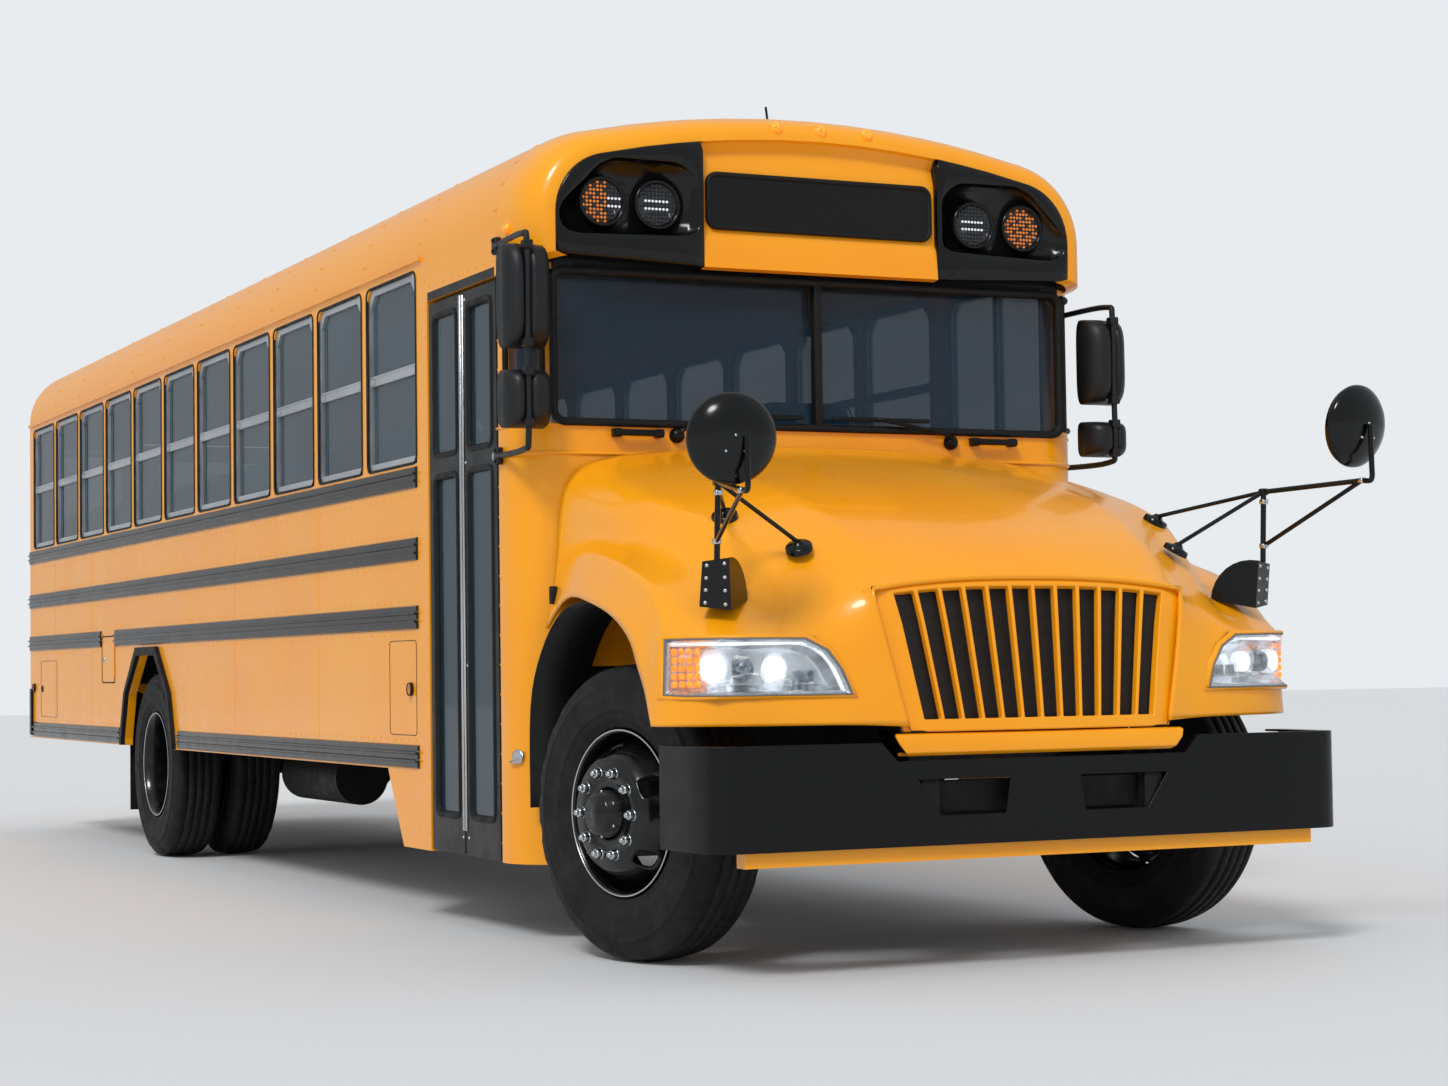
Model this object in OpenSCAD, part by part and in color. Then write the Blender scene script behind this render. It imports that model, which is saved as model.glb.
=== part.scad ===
// School bus with a forward-tilting bonnet, eleven windows a side and dual rear
// wheels.  Millimetres, +Z up, the front faces -Y, the entrance door is at -X.
// The origin is on the ground at the centre of the bus's outline.

/* [Body] */
// Width over the side panels
body_w = 2438; // [2350:1:2500]
// Height of the roof's crown above the ground
roof_h = 3125; // [3000:5:3250]
// Thickness of a wall, lining included
wall_t = 45; // [35:1:60]
// Front face of the windscreen panel
body_front = -3660; // [-3700:5:-3640]
// Outside face of the rear wall
body_rear = 5400; // [5380:5:5420]
// Lower edge of the side skirts
skirt_z = 602; // [560:1:640]
// Top of the passenger floor
floor_z = 1000; // [980:5:1020]
// Height at which the roof sheet meets the side walls
eave_z = 2650; // [2640:5:2670]

/* [Windows] */
// Number of passenger windows on each side
window_count = 11; // [6:1:11]
// Spacing of the window posts
window_pitch = 711; // [700:1:720]
// Lower edge of the window openings
window_z0 = 1840; // [1820:5:1860]
// Upper edge of the window openings
window_z1 = 2622; // [2600:1:2630]
// Width of a window post
post_w = 66; // [50:2:90]

/* [Wheels] */
// Outside diameter of a tyre
tyre_d = 1016; // [960:2:1050]
// Section width of a tyre
tyre_w = 276; // [250:2:290]
// Diameter of the rim's bead seat
rim_d = 572; // [560:2:600]
// Distance between the axles
wheelbase = 6400; // [6300:10:6500]
// Position of the front axle
front_axle_y = -4300; // [-4320:5:-4280]
// Distance from the centre line to a front tyre's middle
front_track_x = 1030; // [1000:5:1040]
// Distance from the centre line to a pair of rear tyres' middle
rear_track_x = 898; // [880:2:910]
// Spacing of the two tyres of a rear pair
dual_gap = 322; // [310:2:330]
// Steered angle at which the front wheels stand
steer_rest = 13.5; // [0:0.5:20]

/* [Entrance] */
// Front edge of the entrance doorway
door_front = -3400; // [-3420:5:-3380]
// Rear edge of the entrance doorway
door_rear = -2622; // [-2640:2:-2600]
// Lower edge of the entrance doorway
door_z0 = 288; // [280:2:320]
// Upper edge of the entrance doorway
door_z1 = 2470; // [2440:5:2490]

/* [Bumpers] */
// Front face of the front bumper
bumper_front = -5250; // [-5260:5:-5240]
// Rear face of the rear bumper
bumper_rear = 5490; // [5480:1:5500]
// Lower and upper edges of the front bumper
bumper_z = [415, 750]; // [400:5:760]

/* [Seats] */
// Number of seat rows
seat_rows = 11; // [6:1:11]
// Spacing of the seat rows
seat_pitch = 700; // [690:5:705]
// Width of a bench
bench_w = 930; // [860:10:950]

/* [Hidden] */
$fn = 64;

paint = "#F5A51E";
black = "#17181A";
half_w = body_w / 2;
inner_w = half_w - wall_t;
axle_z = tyre_d / 2;
rear_axle_y = front_axle_y + wheelbase;
first_post = -2522;
kingpin_x = 900;
kingpin_r = 22;
rail_x = 390;
rail_w = 76;
crown_r = 4200;
eave_r = 350;
cap_rear = -3420;
rail_z = [640, 862];
hood_pivot = [-5130, 810];
hood_pin_r = 10;
arch_top = 1110;

// ---------------------------------------------------------------- helpers
module both_sides() { children(); mirror([1, 0, 0]) children(); }

// Turns a drawing in Y and Z into a plate from x0 to x1
module plate_yz(x0, x1) translate([x0, 0, 0]) rotate([90, 0, 90]) linear_extrude(x1 - x0) children();

// Turns a drawing in X and Z into a plate from y0 to y1
module plate_xz(y0, y1) translate([0, y1, 0]) rotate([90, 0, 0]) linear_extrude(y1 - y0) children();

// A box from its lowest corner to its highest
module block(a, b) translate(a) cube(b - a);

// A twelve-sided bar from a to b
module bar(a, b, r) {
    v = b - a;
    len = norm(v);
    translate(a)
        rotate([0, acos(v[2] / len), atan2(v[1], v[0])]) cylinder(r = r, h = len, $fn = 12);
}

// The bus's cross-section above z0, drawn inward by t
module body_section(t, z0) {
    w = half_w - t;
    big = crown_r - t;
    small = eave_r - t;
    corner_x = half_w - eave_r;
    centre_z = roof_h - crown_r;
    corner_z = centre_z + sqrt(pow(crown_r - eave_r, 2) - pow(corner_x, 2));
    touch_x = big * corner_x / (crown_r - eave_r);
    difference() {
        union() {
            intersection() {
                translate([0, centre_z]) circle(r = big, $fn = 400);
                translate([-touch_x, corner_z]) square([2 * touch_x, 1000]);
            }
            for (s = [-1, 1]) translate([s * corner_x, corner_z]) circle(r = small);
            translate([-w, 0]) square([2 * w, corner_z]);
        }
        translate([-2000, -10]) square([4000, z0 + 10]);
    }
}

// A plan outline, |x| < w from y0 to y1, with round front corners
module nose_plan(w, y0, y1, r) intersection() {
    translate([-w, y0]) square([2 * w, y1 - y0]);
    union() {
        translate([-w, y0 + r]) square([2 * w, y1 - y0]);
        translate([r - w, y0]) square([2 * (w - r), y1 - y0]);
        for (s = [-1, 1]) translate([s * (w - r), y0 + r]) circle(r = r);
    }
}

// ---------------------------------------------------------------- chassis
// Side view of a rail, with its low front horn
module rail_outline() polygon([[bumper_front + 30, 500], [-5000, 500], [-4900, rail_z[0]], [5300, rail_z[0]],
    [5300, rail_z[1]], [-4900, rail_z[1]], [-5060, rail_z[0]], [bumper_front + 30, rail_z[0]]]);

// Arm that reaches forward from a rail to the hood's pivot
module pivot_arm() difference() {
    hull() {
        translate(hood_pivot) circle(r = 18);
        translate([-4880, 780]) square([1, 70]);
    }
    translate(hood_pivot) circle(r = hood_pin_r + 0.5);
}
module chassis_rails() color(black) both_sides() {
    plate_yz(rail_x, rail_x + rail_w) rail_outline();
    plate_yz(rail_x + rail_w - 20, rail_x + rail_w) pivot_arm();
}

cross_member_y = [-2950, -2200, -1440, -680, 400, 1300, 2900, 4300, 5240];
outrigger_y = [-1900, -900, 100, 1200, 3000, 4000, 5000];
module cross_members() color(black) {
    for (y = cross_member_y) block([-rail_x, y - 30, 775], [rail_x, y + 30, 855]);
    block([-rail_x, -5190, 520], [rail_x, -5120, 620]);
    // outriggers that carry the floor
    for (y = outrigger_y) both_sides()
        block([rail_x + rail_w, y - 25, rail_z[1] - 60], [1150, y + 25, rail_z[1]]);
}

// Plates under the rear ends of the rails, each with a tow eye
tow_eye = [5310, 560];
tow_eye_r = 25;
module tow_plates() color(black) both_sides() plate_yz(rail_x + 20, rail_x + 45) difference() {
    translate([5200, 500]) square([150, rail_z[0] - 500]);
    translate(tow_eye) circle(r = tow_eye_r);
}

module front_axle() color(black) {
    difference() {
        union() {
            plate_xz(front_axle_y - 45, front_axle_y + 45) polygon([[-820, 450], [-560, 390], [560, 390],
                [820, 450], [820, 540], [560, 470], [-560, 470], [-820, 540]]);
            both_sides() block([800, front_axle_y - 40, 440], [kingpin_x, front_axle_y + 40, 560]);
            both_sides() translate([kingpin_x, front_axle_y, 440]) cylinder(r = 42, h = 120);
        }
        both_sides() translate([kingpin_x, front_axle_y, 400]) cylinder(r = kingpin_r + 0.5, h = 200);
    }
}

module rear_axle() color(black) {
    translate([0, rear_axle_y, axle_z]) {
        sphere(r = 210);
        both_sides() translate([150, 0, 0]) rotate([0, 90, 0]) cylinder(r = 70, h = 480);
        both_sides() translate([600, 0, 0]) rotate([0, 90, 0]) cylinder(r = 42, h = 395);
        translate([0, -300, 20]) rotate([-90, 0, 0]) cylinder(r = 90, h = 200);
    }
}

// A spring pack with its two hangers and two clamp plates
module spring_pack(x, y, half, leaves, w, z_top, hanger_z) translate([x, y, 0]) {
    plate_yz(-w, w) polygon([[-half, z_top + 40], [0, z_top], [half, z_top + 40], [half, z_top + 24],
        [half - leaves * 80, z_top], [160, z_top - 12 * leaves], [-160, z_top - 12 * leaves],
        [leaves * 80 - half, z_top], [-half, z_top + 24]]);
    for (s = [-1, 1]) block([-w, s * half - 34, z_top + 30], [w, s * half + 34, hanger_z]);
    for (s = [-1, 1]) block([-w - 12, s * 70 - 12, z_top - 12 * leaves - 24], [w + 12, s * 70 + 12, z_top + 10]);
}
module leaf_springs() color(black) {
    both_sides() spring_pack(rail_x + rail_w / 2, front_axle_y, 560, 3, 36, 512, rail_z[0]);
    both_sides() spring_pack(rail_x + rail_w + 36, rear_axle_y, 700, 4, 36, 628, 760);
}

module engine_block() color("#3A3D40") block([-330, -4780, 660], [330, -3760, 1330]);

shaft_z = 720;
module driveline() color("#2B2D2F") {
    block([-200, -3740, 560], [200, -3080, 900]);
    translate([0, -3090, shaft_z]) rotate([-90, 0, 0]) cylinder(r = 50, h = 2400);
    block([-120, -710, 640], [120, -650, 775]);
    bar([0, -700, shaft_z], [0, rear_axle_y - 305, axle_z + 20], 50);
}

module fuel_tank() color(black) {
    plate_xz(3030, 4180) polygon([[-370, 480], [-330, 440], [330, 440], [370, 480], [370, 660], [-370, 660]]);
    bar([-360, 3080, 545], [-1150, 3080, 920], 30);
}

// Air tanks at x, from y for a length: one under each side
air_tank_list = [[-620, 140, 950], [900, -1350, 900]];
module air_tanks() color(black) for (t = air_tank_list) {
    translate([t[0], t[1], 475]) rotate([-90, 0, 0]) cylinder(r = 135, h = t[2]);
    for (y = [t[1] + 100, t[1] + t[2] - 140])
        block([t[0] - 20, y, 590], [t[0] + 20, y + 40, rail_z[1] - 62]);
}

// A pipe's straight runs, each a little longer than its two points
module pipe(route, r) for (i = [0:len(route) - 2]) {
    step = (route[i + 1] - route[i]) / norm(route[i + 1] - route[i]);
    bar(route[i] - step * r * 0.4, route[i + 1] + step * r * 0.4, r);
}
module exhaust_pipe() color("#56585A") {
    translate([640, 420, 500]) rotate([-90, 0, 0]) cylinder(r = 120, h = 780);
    // under the left rail, over the rear axle between the rails, and out again
    pipe([[450, -3600, 560], [640, 440, 500]], 40);
    pipe([[640, 1180, 500], [300, 1340, 570], [300, 1740, 770], [300, 2440, 770], [300, 2760, 560],
        [590, 2960, 455], [590, 5440, 455]], 40);
}

// ---------------------------------------------------------------- floor
wheel_box_y = [rear_axle_y - 600, rear_axle_y + 600];
wheel_box_x = 552;
wheel_box_z = 1130;
module floor_panel() color("#2A2C2E") translate([0, 0, floor_z - 50]) linear_extrude(50) difference() {
    nose_plan(inner_w - 1, body_front + wall_t + 4, body_rear - wall_t - 2, corner_r - wall_t);
    translate([-inner_w - 1, door_front - 20]) square([inner_w + 1 - 548, door_rear - door_front + 40]);
    for (s = [0, 1]) mirror([s, 0]) translate([wheel_box_x, wheel_box_y[0]])
        square([inner_w + 1 - wheel_box_x, wheel_box_y[1] - wheel_box_y[0]]);
}

// Raised box over a rear wheel, open below and at the outer side
module wheel_boxes() color("#2A2C2E") both_sides() difference() {
    block([wheel_box_x, wheel_box_y[0], floor_z - 50], [inner_w - 1, wheel_box_y[1], wheel_box_z]);
    block([wheel_box_x + 14, wheel_box_y[0] + 14, 0], [inner_w + 1, wheel_box_y[1] - 14, wheel_box_z - 14]);
}

module stepwell() color("#303234") {
    y0 = door_front - 18;
    y1 = door_rear + 18;
    tread_1 = door_z0 + 30;
    tread_2 = (tread_1 + floor_z) / 2;
    x_out = -inner_w + 1;
    block([x_out, y0 + 3, door_z0], [-860, y1 - 3, tread_1]);
    block([-880, y0 + 3, tread_1 - 30], [-860, y1 - 3, tread_2]);
    block([-880, y0 + 3, tread_2 - 30], [-552, y1 - 3, tread_2]);
    block([-572, y0 + 3, tread_2 - 30], [-552, y1 - 3, floor_z]);
    for (y = [y0, y1 - 16]) block([x_out, y, door_z0], [-552, y + 16, floor_z - 52]);
}

// ---------------------------------------------------------------- walls
// Openings of the passenger windows, drawn in Y and Z with chamfered top corners
module window_outline(inset) {
    c = 55;
    y1 = window_pitch - post_w / 2 - inset;
    y0 = post_w / 2 + inset;
    z0 = window_z0 + inset;
    z1 = window_z1 - inset;
    polygon([[y0, z0], [y1, z0], [y1, z1 - c], [y1 - c, z1], [y0 + c, z1], [y0, z1 - c]]);
}
module each_window() for (i = [0:window_count - 1]) translate([first_post + i * window_pitch, 0]) children();

// Outline of the rear wheel opening
module arch_outline(grow) polygon([
    [rear_axle_y - 562 - grow, 300], [rear_axle_y - 562 - grow, 640], [rear_axle_y - 470 - grow, 900],
    [rear_axle_y - 205 - grow / 2, arch_top + grow], [rear_axle_y + 205 + grow / 2, arch_top + grow],
    [rear_axle_y + 470 + grow, 900], [rear_axle_y + 575 + grow, 640], [rear_axle_y + 575 + grow, 300]]);

filler_y = 3090;
filler_z = 1095;
filler_size = [330, 266];
module filler_outline(gap) translate([filler_y - filler_size[0] / 2 - gap, filler_z - filler_size[1] / 2 - gap])
    square([filler_size[0] + 2 * gap, filler_size[1] + 2 * gap]);

module right_wall_outline() difference() {
    polygon([[door_rear, door_z0], [-2284, door_z0], [-2086, skirt_z], [body_rear - wall_t, skirt_z],
        [body_rear - wall_t, eave_z], [cap_rear, eave_z], [cap_rear, door_z1 + 6], [door_rear, door_z1 + 6]]);
    each_window() window_outline(0);
    arch_outline(0);
    filler_outline(6);
}
module right_side_wall() color(paint) plate_yz(-half_w, -inner_w) right_wall_outline();

module driver_window_outline(inset) polygon([[-3400 + inset, 1880 + inset], [-2620 - inset, 1840 + inset],
    [-2620 - inset, 2560 - inset], [-2660 - inset, 2600 - inset], [-3380 + inset, 2600 - inset],
    [-3400 + inset, 2580 - inset]]);
module left_wall_outline() difference() {
    polygon([[cap_rear, 470], [-2700, 470], [-2520, skirt_z], [body_rear - wall_t, skirt_z],
        [body_rear - wall_t, eave_z], [cap_rear, eave_z]]);
    each_window() window_outline(0);
    driver_window_outline(0);
    arch_outline(0);
}
module left_side_wall() color(paint) {
    plate_yz(inner_w, half_w) left_wall_outline();
    // bracket of the stop arm
    block([half_w - 1, stop_hinge[1] - 70, stop_hinge[2] - 74], [stop_hinge[0] + 12, stop_hinge[1] - 26, stop_hinge[2] + 74]);
}

rear_door_x = 470;
rear_door_z = [960, 2560];
rear_hinge_r = 10;
module rear_wall() color(paint) plate_xz(body_rear - wall_t, body_rear) difference() {
    body_section(0, skirt_z);
    translate([-rear_door_x, rear_door_z[0]]) square([2 * rear_door_x, rear_door_z[1] - rear_door_z[0]]);
    for (s = [-1, 1]) translate([s * 815 - 235, 1860]) square([470, 640]);
}

hatch_y = [-700, 2600];
hatch_half = 300;
module roof() color("#F4F4F0") difference() {
    plate_xz(cap_rear, body_rear - wall_t) difference() {
        body_section(0, eave_z);
        body_section(wall_t, eave_z - 1);
    }
    for (y = hatch_y) block([-hatch_half, y - hatch_half, 2900], [hatch_half, y + hatch_half, 3300]);
}

cap_z0 = 2500;
// Distance ahead of the cap's rear edge and inward step of each section
cap_rings = [[0, 0], [130, 6], [225, 38], [276, 92], [300, 165]];
module cap_shape(t) hull() for (k = cap_rings) translate([0, cap_rear - k[0] + t - (k[0] == 0 ? 2 * t : 0), 0])
    rotate([90, 0, 0]) linear_extrude(1) body_section(k[1] + t, cap_z0 + (t > 0 ? -1 : 0));
module front_cap() color(paint) difference() {
    cap_shape(0);
    intersection() {
        cap_shape(wall_t);
        block([-1300, cap_rear - 300 + wall_t, 0], [1300, cap_rear + 100, 3300]);
    }
    both_sides() plate_xz(cap_rear - 330, cap_rear - 250) pod_outline(-2);
    // recess of the sign
    block([-500, cap_rear - 310, 2640], [500, cap_rear - 290, 2872]);
}

glass_half = 1098;
corner_r = 210;
// Plan of the front body shell, its outside face moved inward by t
module shell_plan(t) nose_plan(half_w - t, body_front + t, cap_rear + (t > 0 ? 2 : 0), corner_r - t);

// Corner window, beside the windscreen: where it is cut from the shell
corner_glass_z = [1935, 2470];
module corner_window_zone(grow) both_sides()
    block([1122 - grow, body_front - 1, corner_glass_z[0] - grow],
        [half_w + 1, -3490 + grow, corner_glass_z[1] + grow]);
module cowl() color(paint) difference() {
    translate([0, 0, door_z0]) linear_extrude(cap_z0 - door_z0) difference() {
        shell_plan(0);
        shell_plan(wall_t);
    }
    corner_window_zone(0);
    block([-glass_half, body_front - 1, 1905], [glass_half, body_front + 80, 2476]);
    block([-1060, body_front - 1, 0], [1060, body_front + 80, 1010]);
    block([-340, body_front - 1, 0], [340, body_front + 80, 1360]);
    // the left corner ends higher than the door's
    block([1060, body_front - 1, 0], [1300, cap_rear + 1, 470]);
}

module windscreen() color("#33474F", 0.5) {
    both_sides() translate([0, body_front + 18, 1910]) rotate([-3, 0, 0]) block([12, 0, 0], [glass_half - 6, 8, 560]);
    intersection() {
        linear_extrude(3000) difference() {
            shell_plan(14);
            shell_plan(20);
        }
        corner_window_zone(-1);
    }
}

module window_sashes() color("#B8BCC0") {
    both_sides() plate_yz(inner_w + 6, half_w - 8) each_window() difference() {
        window_outline(3);
        difference() {
            window_outline(34);
            translate([0, 2205]) square([window_pitch, 40]);
        }
    }
    plate_yz(inner_w + 6, half_w - 8) difference() {
        driver_window_outline(3);
        difference() {
            driver_window_outline(34);
            translate([-3040, 1800]) square([36, 900]);
        }
    }
    both_sides() plate_xz(body_rear - 36, body_rear - 10) translate([815 - 235, 1860]) difference() {
        translate([3, 3]) square([464, 634]);
        translate([34, 34]) square([402, 572]);
    }
}

module window_glass() color("#2E3B42", 0.6) {
    both_sides() plate_yz(inner_w + 18, inner_w + 24) each_window() difference() {
        window_outline(34.5);
        translate([0, 2204.5]) square([window_pitch, 41]);
    }
    plate_yz(inner_w + 18, inner_w + 24) difference() {
        driver_window_outline(34.5);
        translate([-3040.5, 1800]) square([37, 900]);
    }
    both_sides() plate_xz(body_rear - 26, body_rear - 20) translate([815 - 235, 1860])
        translate([34.5, 34.5]) square([401, 571]);
}

// Lower edge, upper edge, front end and rear end of each black rail
rail_end = 5396;
low_rail_end = 5290;
right_rails = [[1740, 1828, -2490, rail_end], [1447, 1541, -2490, rail_end],
    [1169, 1266, -2490, filler_y - 180], [1169, 1266, filler_y + 180, rail_end],
    [608, 703, -2490, 1440], [608, 703, 2780, low_rail_end]];
left_rails = [[1740, 1828, -3300, rail_end], [1447, 1541, -3300, rail_end],
    [1169, 1266, -3300, rail_end], [608, 703, -2500, 1440], [608, 703, 2780, low_rail_end]];
module rail_bars(rails) for (r = rails) block([half_w, r[2], r[0]], [half_w + 18, r[3], r[1]]);
module rub_rails() color(black) {
    mirror([1, 0, 0]) rail_bars(right_rails);
    rail_bars(left_rails);
}

module wheel_arch_trims() color(black) both_sides() plate_yz(half_w, half_w + 24) difference() {
    intersection() {
        arch_outline(46);
        translate([0, 604]) square([4000, 1000]);
    }
    arch_outline(0);
}

// ---------------------------------------------------------------- lamps
// Outline of a lamp pod, in X and Z, its inner edge at x = 503
module pod_outline(inset) intersection() {
    body_section(92 + inset, cap_z0 + 26 + inset);
    translate([503 + inset, 0]) square([598 - 2 * inset, 3200]);
}
module lamp_pods() color(black) both_sides() difference() {
    plate_xz(cap_rear - 316, cap_rear - 255) pod_outline(0);
    plate_xz(cap_rear - 320, cap_rear - 290) pod_outline(42);
}

lamp_x = [682, 905];
lamp_z = 2728;
module body_lamps() color("#E8A23A") {
    both_sides() for (x = lamp_x) translate([x, cap_rear - 291, lamp_z]) rotate([90, 0, 0])
        cylinder(r = 86, h = 30);
    both_sides() for (x = lamp_x) translate([x, body_rear + 1, lamp_z]) rotate([-90, 0, 0])
        cylinder(r = 86, h = 45);
    // brake, turn and reverse lamps
    both_sides() translate([905, body_rear + 1, 1640]) rotate([-90, 0, 0]) cylinder(r = 90, h = 30);
    both_sides() translate([905, body_rear + 1, 1400]) rotate([-90, 0, 0]) cylinder(r = 90, h = 30);
    both_sides() translate([905, body_rear + 1, 1080]) rotate([-90, 0, 0]) cylinder(r = 60, h = 30);
    // side markers
    both_sides() translate([half_w + 0.5, -2395, 928]) rotate([0, 90, 0]) cylinder(r = 28, h = 16);
    both_sides() translate([half_w + 0.5, 5250, 928]) rotate([0, 90, 0]) cylinder(r = 28, h = 16);
}

module antenna() color(black) {
    translate([140, -3000, 3124]) cylinder(r = 28, h = 24);
    bar([140, -3000, 3140], [140, -2960, 3300], 5);
}

// ---------------------------------------------------------------- bumpers
bumper_plan = [[-1130, 0], [1130, 0], [1208, 60], [1228, 380], [1212, 380], [1190, 70], [1122, 16],
    [-1122, 16], [-1190, 70], [-1212, 380], [-1228, 380], [-1208, 60]];
module front_bumper() color(black) difference() {
    union() {
        translate([0, bumper_front, bumper_z[0]]) linear_extrude(bumper_z[1] - bumper_z[0]) polygon(bumper_plan);
        // folded lips behind the face
        for (z = [bumper_z[0], bumper_z[1] - 12]) block([-1120, bumper_front + 15, z], [1120, bumper_front + 52, z + 12]);
        both_sides() block([rail_x + 6, bumper_front + 15, 510], [rail_x + rail_w - 6, bumper_front + 29, 630]);
    }
    // notch under the chin of the grille
    plate_xz(bumper_front - 1, bumper_front + 60) polygon([[-606, 800], [-560, 690], [560, 690], [606, 800]]);
    // tow openings
    both_sides() plate_xz(bumper_front - 1, bumper_front + 17) polygon([[155, 510], [400, 510], [485, 630], [125, 630]]);
    // number plate holes
    for (x = [-89, 89], z = [440, 561]) translate([x, bumper_front - 1, z]) rotate([-90, 0, 0])
        cylinder(r = 3.5, h = 40);
}
module bumper_strip() color(paint) {
    block([-1090, bumper_front + 30, 366], [1090, bumper_front + 90, 413]);
}
module rear_bumper() color(black) translate([0, bumper_rear, 620]) linear_extrude(300)
    polygon([[-1120, 0], [1120, 0], [1216, -40], [1236, -190], [1221, -190], [1221, -88], [-1221, -88],
        [-1221, -190], [-1236, -190], [-1216, -40]]);

module mud_flaps() color(black) both_sides()
    block([620, rear_axle_y + 640, 230], [inner_w - 2, rear_axle_y + 652, 860]);

// ---------------------------------------------------------------- cabin
seat_first = -2180;
module bench(x, y, w, base, back) translate([x, y, 0]) {
    block([0, 0, base], [w, 420, base + 110]);
    block([0, 430, base - 60], [w, 520, back]);
}
module passenger_seats() color("#3C4650") {
    both_sides() for (i = [0:seat_rows - 1])
        bench(inner_w - bench_w - 20, seat_first + i * seat_pitch - 30, bench_w, floor_z + 340, floor_z + 1060);
    both_sides() for (i = [0:seat_rows - 1]) for (x = [inner_w - bench_w + 20, inner_w - 80])
        block([x, seat_first + i * seat_pitch + 60, floor_z + 132], [x + 30, seat_first + i * seat_pitch + 360, floor_z + 339]);
}
module driver_seat() color("#2B2E31") {
    block([300, -2960, floor_z + 400], [800, -2500, floor_z + 520]);
    block([310, -2490, floor_z + 420], [790, -2400, floor_z + 1150]);
    block([420, -2880, floor_z + 1], [680, -2560, floor_z + 399]);
}
module dashboard() color("#3A3D40") intersection() {
    linear_extrude(2500) nose_plan(inner_w - 8, body_front + wall_t + 8, 0, corner_r - wall_t - 4);
    dashboard_mass();
}
module dashboard_mass() {
    plate_xz(body_front + wall_t + 10, -3330) polygon([[-500, 1480], [1130, 1480], [1130, 1840], [900, 1870], [-500, 1870]]);
    block([-500, body_front + wall_t + 10, floor_z + 1], [-440, -3400, 1479]);
    block([380, body_front + wall_t + 10, 1370], [1130, -3420, 1479]);
}
wheel_centre = [550, -3110, 1790];
module steering_wheel() color(black) translate(wheel_centre) rotate([-28, 0, 0]) {
    rotate_extrude() translate([215, 0]) circle(r = 15);
    for (a = [30, 150, 270]) rotate([0, 0, a]) block([30, -14, -8], [205, 14, 8]);
    translate([0, 0, -30]) cylinder(r = 45, h = 45);
    translate([0, 0, -420]) cylinder(r = 24, h = 400);
}

// ---------------------------------------------------------------- mirrors
// A side mirror at +X: heights of its upper arm and of the lower and upper edges of its two heads
mirror_pole = [1250, -3810];
mirror_foot_y = -3446;
lower_arm_z = 1795;
module side_mirror(arm_z, big, small) {
    for (z = [arm_z, lower_arm_z]) {
        block([half_w + 0.2, mirror_foot_y - 20, z - 30], [half_w + 24, mirror_foot_y + 20, z + 30]);
        bar([half_w + 13, mirror_foot_y, z], [mirror_pole[0], mirror_pole[1], z], 11);
    }
    bar([mirror_pole[0], mirror_pole[1], arm_z + 11], [mirror_pole[0], mirror_pole[1], lower_arm_z - 11], 11);
    for (z = [big, small]) block([1140, mirror_pole[1], z[0]], [1332, mirror_pole[1] + 100, z[1]]);
}
module side_mirrors() color(black) {
    mirror([1, 0, 0]) side_mirror(2580, [2165, 2545], [1875, 2085]);
    side_mirror(2420, [2030, 2370], [1820, 1960]);
}

// Points of a cross-view mirror's arms, at +X
cross_box = [1075, -4990, 1270];
cross_head = [1180, -5420, 1750];
cross_foot = [733, -4946, 1375];
module crossview_mirror() {
    translate(cross_head) rotate([100, 0, 12]) rotate_extrude()
        polygon([[0, 0], [143, 0], [141, 20], [118, 46], [80, 62], [0, 70]]);
    bar(cross_box + [0, 0, 60], cross_head + [0, 80, -60], 10);
    bar(cross_foot, cross_head + [0, 80, -60], 8);
    block(cross_box - [60, 45, 75], cross_box + [60, 45, 75]);
}
module crossview_mirrors() color(black) both_sides() crossview_mirror();

// ---------------------------------------------------------------- hood
// Station, half-width at the shoulder, shoulder height and crown height
hood_ribs = [[-5195, 600, 1222, 1262], [-4950, 800, 1330, 1440], [-4600, 930, 1450, 1585],
    [-4200, 1000, 1570, 1720], [-3690, 1070, 1680, 1830]];
// Station, inner and outer half-width, top of the fender at its outer edge
fender_ribs = [[-5185, 605, 1120, 1110], [-4960, 700, 1215, 1190], [-4620, 800, 1235, 1320],
    [-4200, 850, 1240, 1420], [-3900, 900, 1225, 1350], [-3690, 950, 1150, 1230]];
hood_low = 805;
module slice(y) translate([0, y, 0]) rotate([90, 0, 0]) linear_extrude(1) children();
module hood_slice(k, t) slice(k[0]) polygon([[-k[1] + t, 1000 - t], [-k[1] + t, k[2] - t],
    [-k[1] * 0.55, (k[3] * 3 + k[2]) / 4 - t], [0, k[3] - t], [k[1] * 0.55, (k[3] * 3 + k[2]) / 4 - t],
    [k[1] - t, k[2] - t], [k[1] - t, 1000 - t]]);
module fender_slice(k, t) slice(k[0]) polygon([[k[1], hood_low - t], [k[2] - t, hood_low - t],
    [k[2] - t, k[3] - 70 - t], [k[2] - 60 - t, k[3] - t], [k[1], k[3] + 20 - t]]);
module hood_mass(t) {
    for (i = [0:len(hood_ribs) - 2]) hull() {
        hood_slice(hood_ribs[i], t);
        hood_slice(hood_ribs[i + 1], t);
    }
    both_sides() for (i = [0:len(fender_ribs) - 2]) hull() {
        fender_slice(fender_ribs[i], t);
        fender_slice(fender_ribs[i + 1], t);
    }
}
front_arch = [[-3600, 500], [-3640, 700], [-3870, 1105], [-4080, 1232], [-4260, 1245], [-4520, 1175],
    [-4690, 1030], [-4815, 790], [-4815, 500]];
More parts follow.
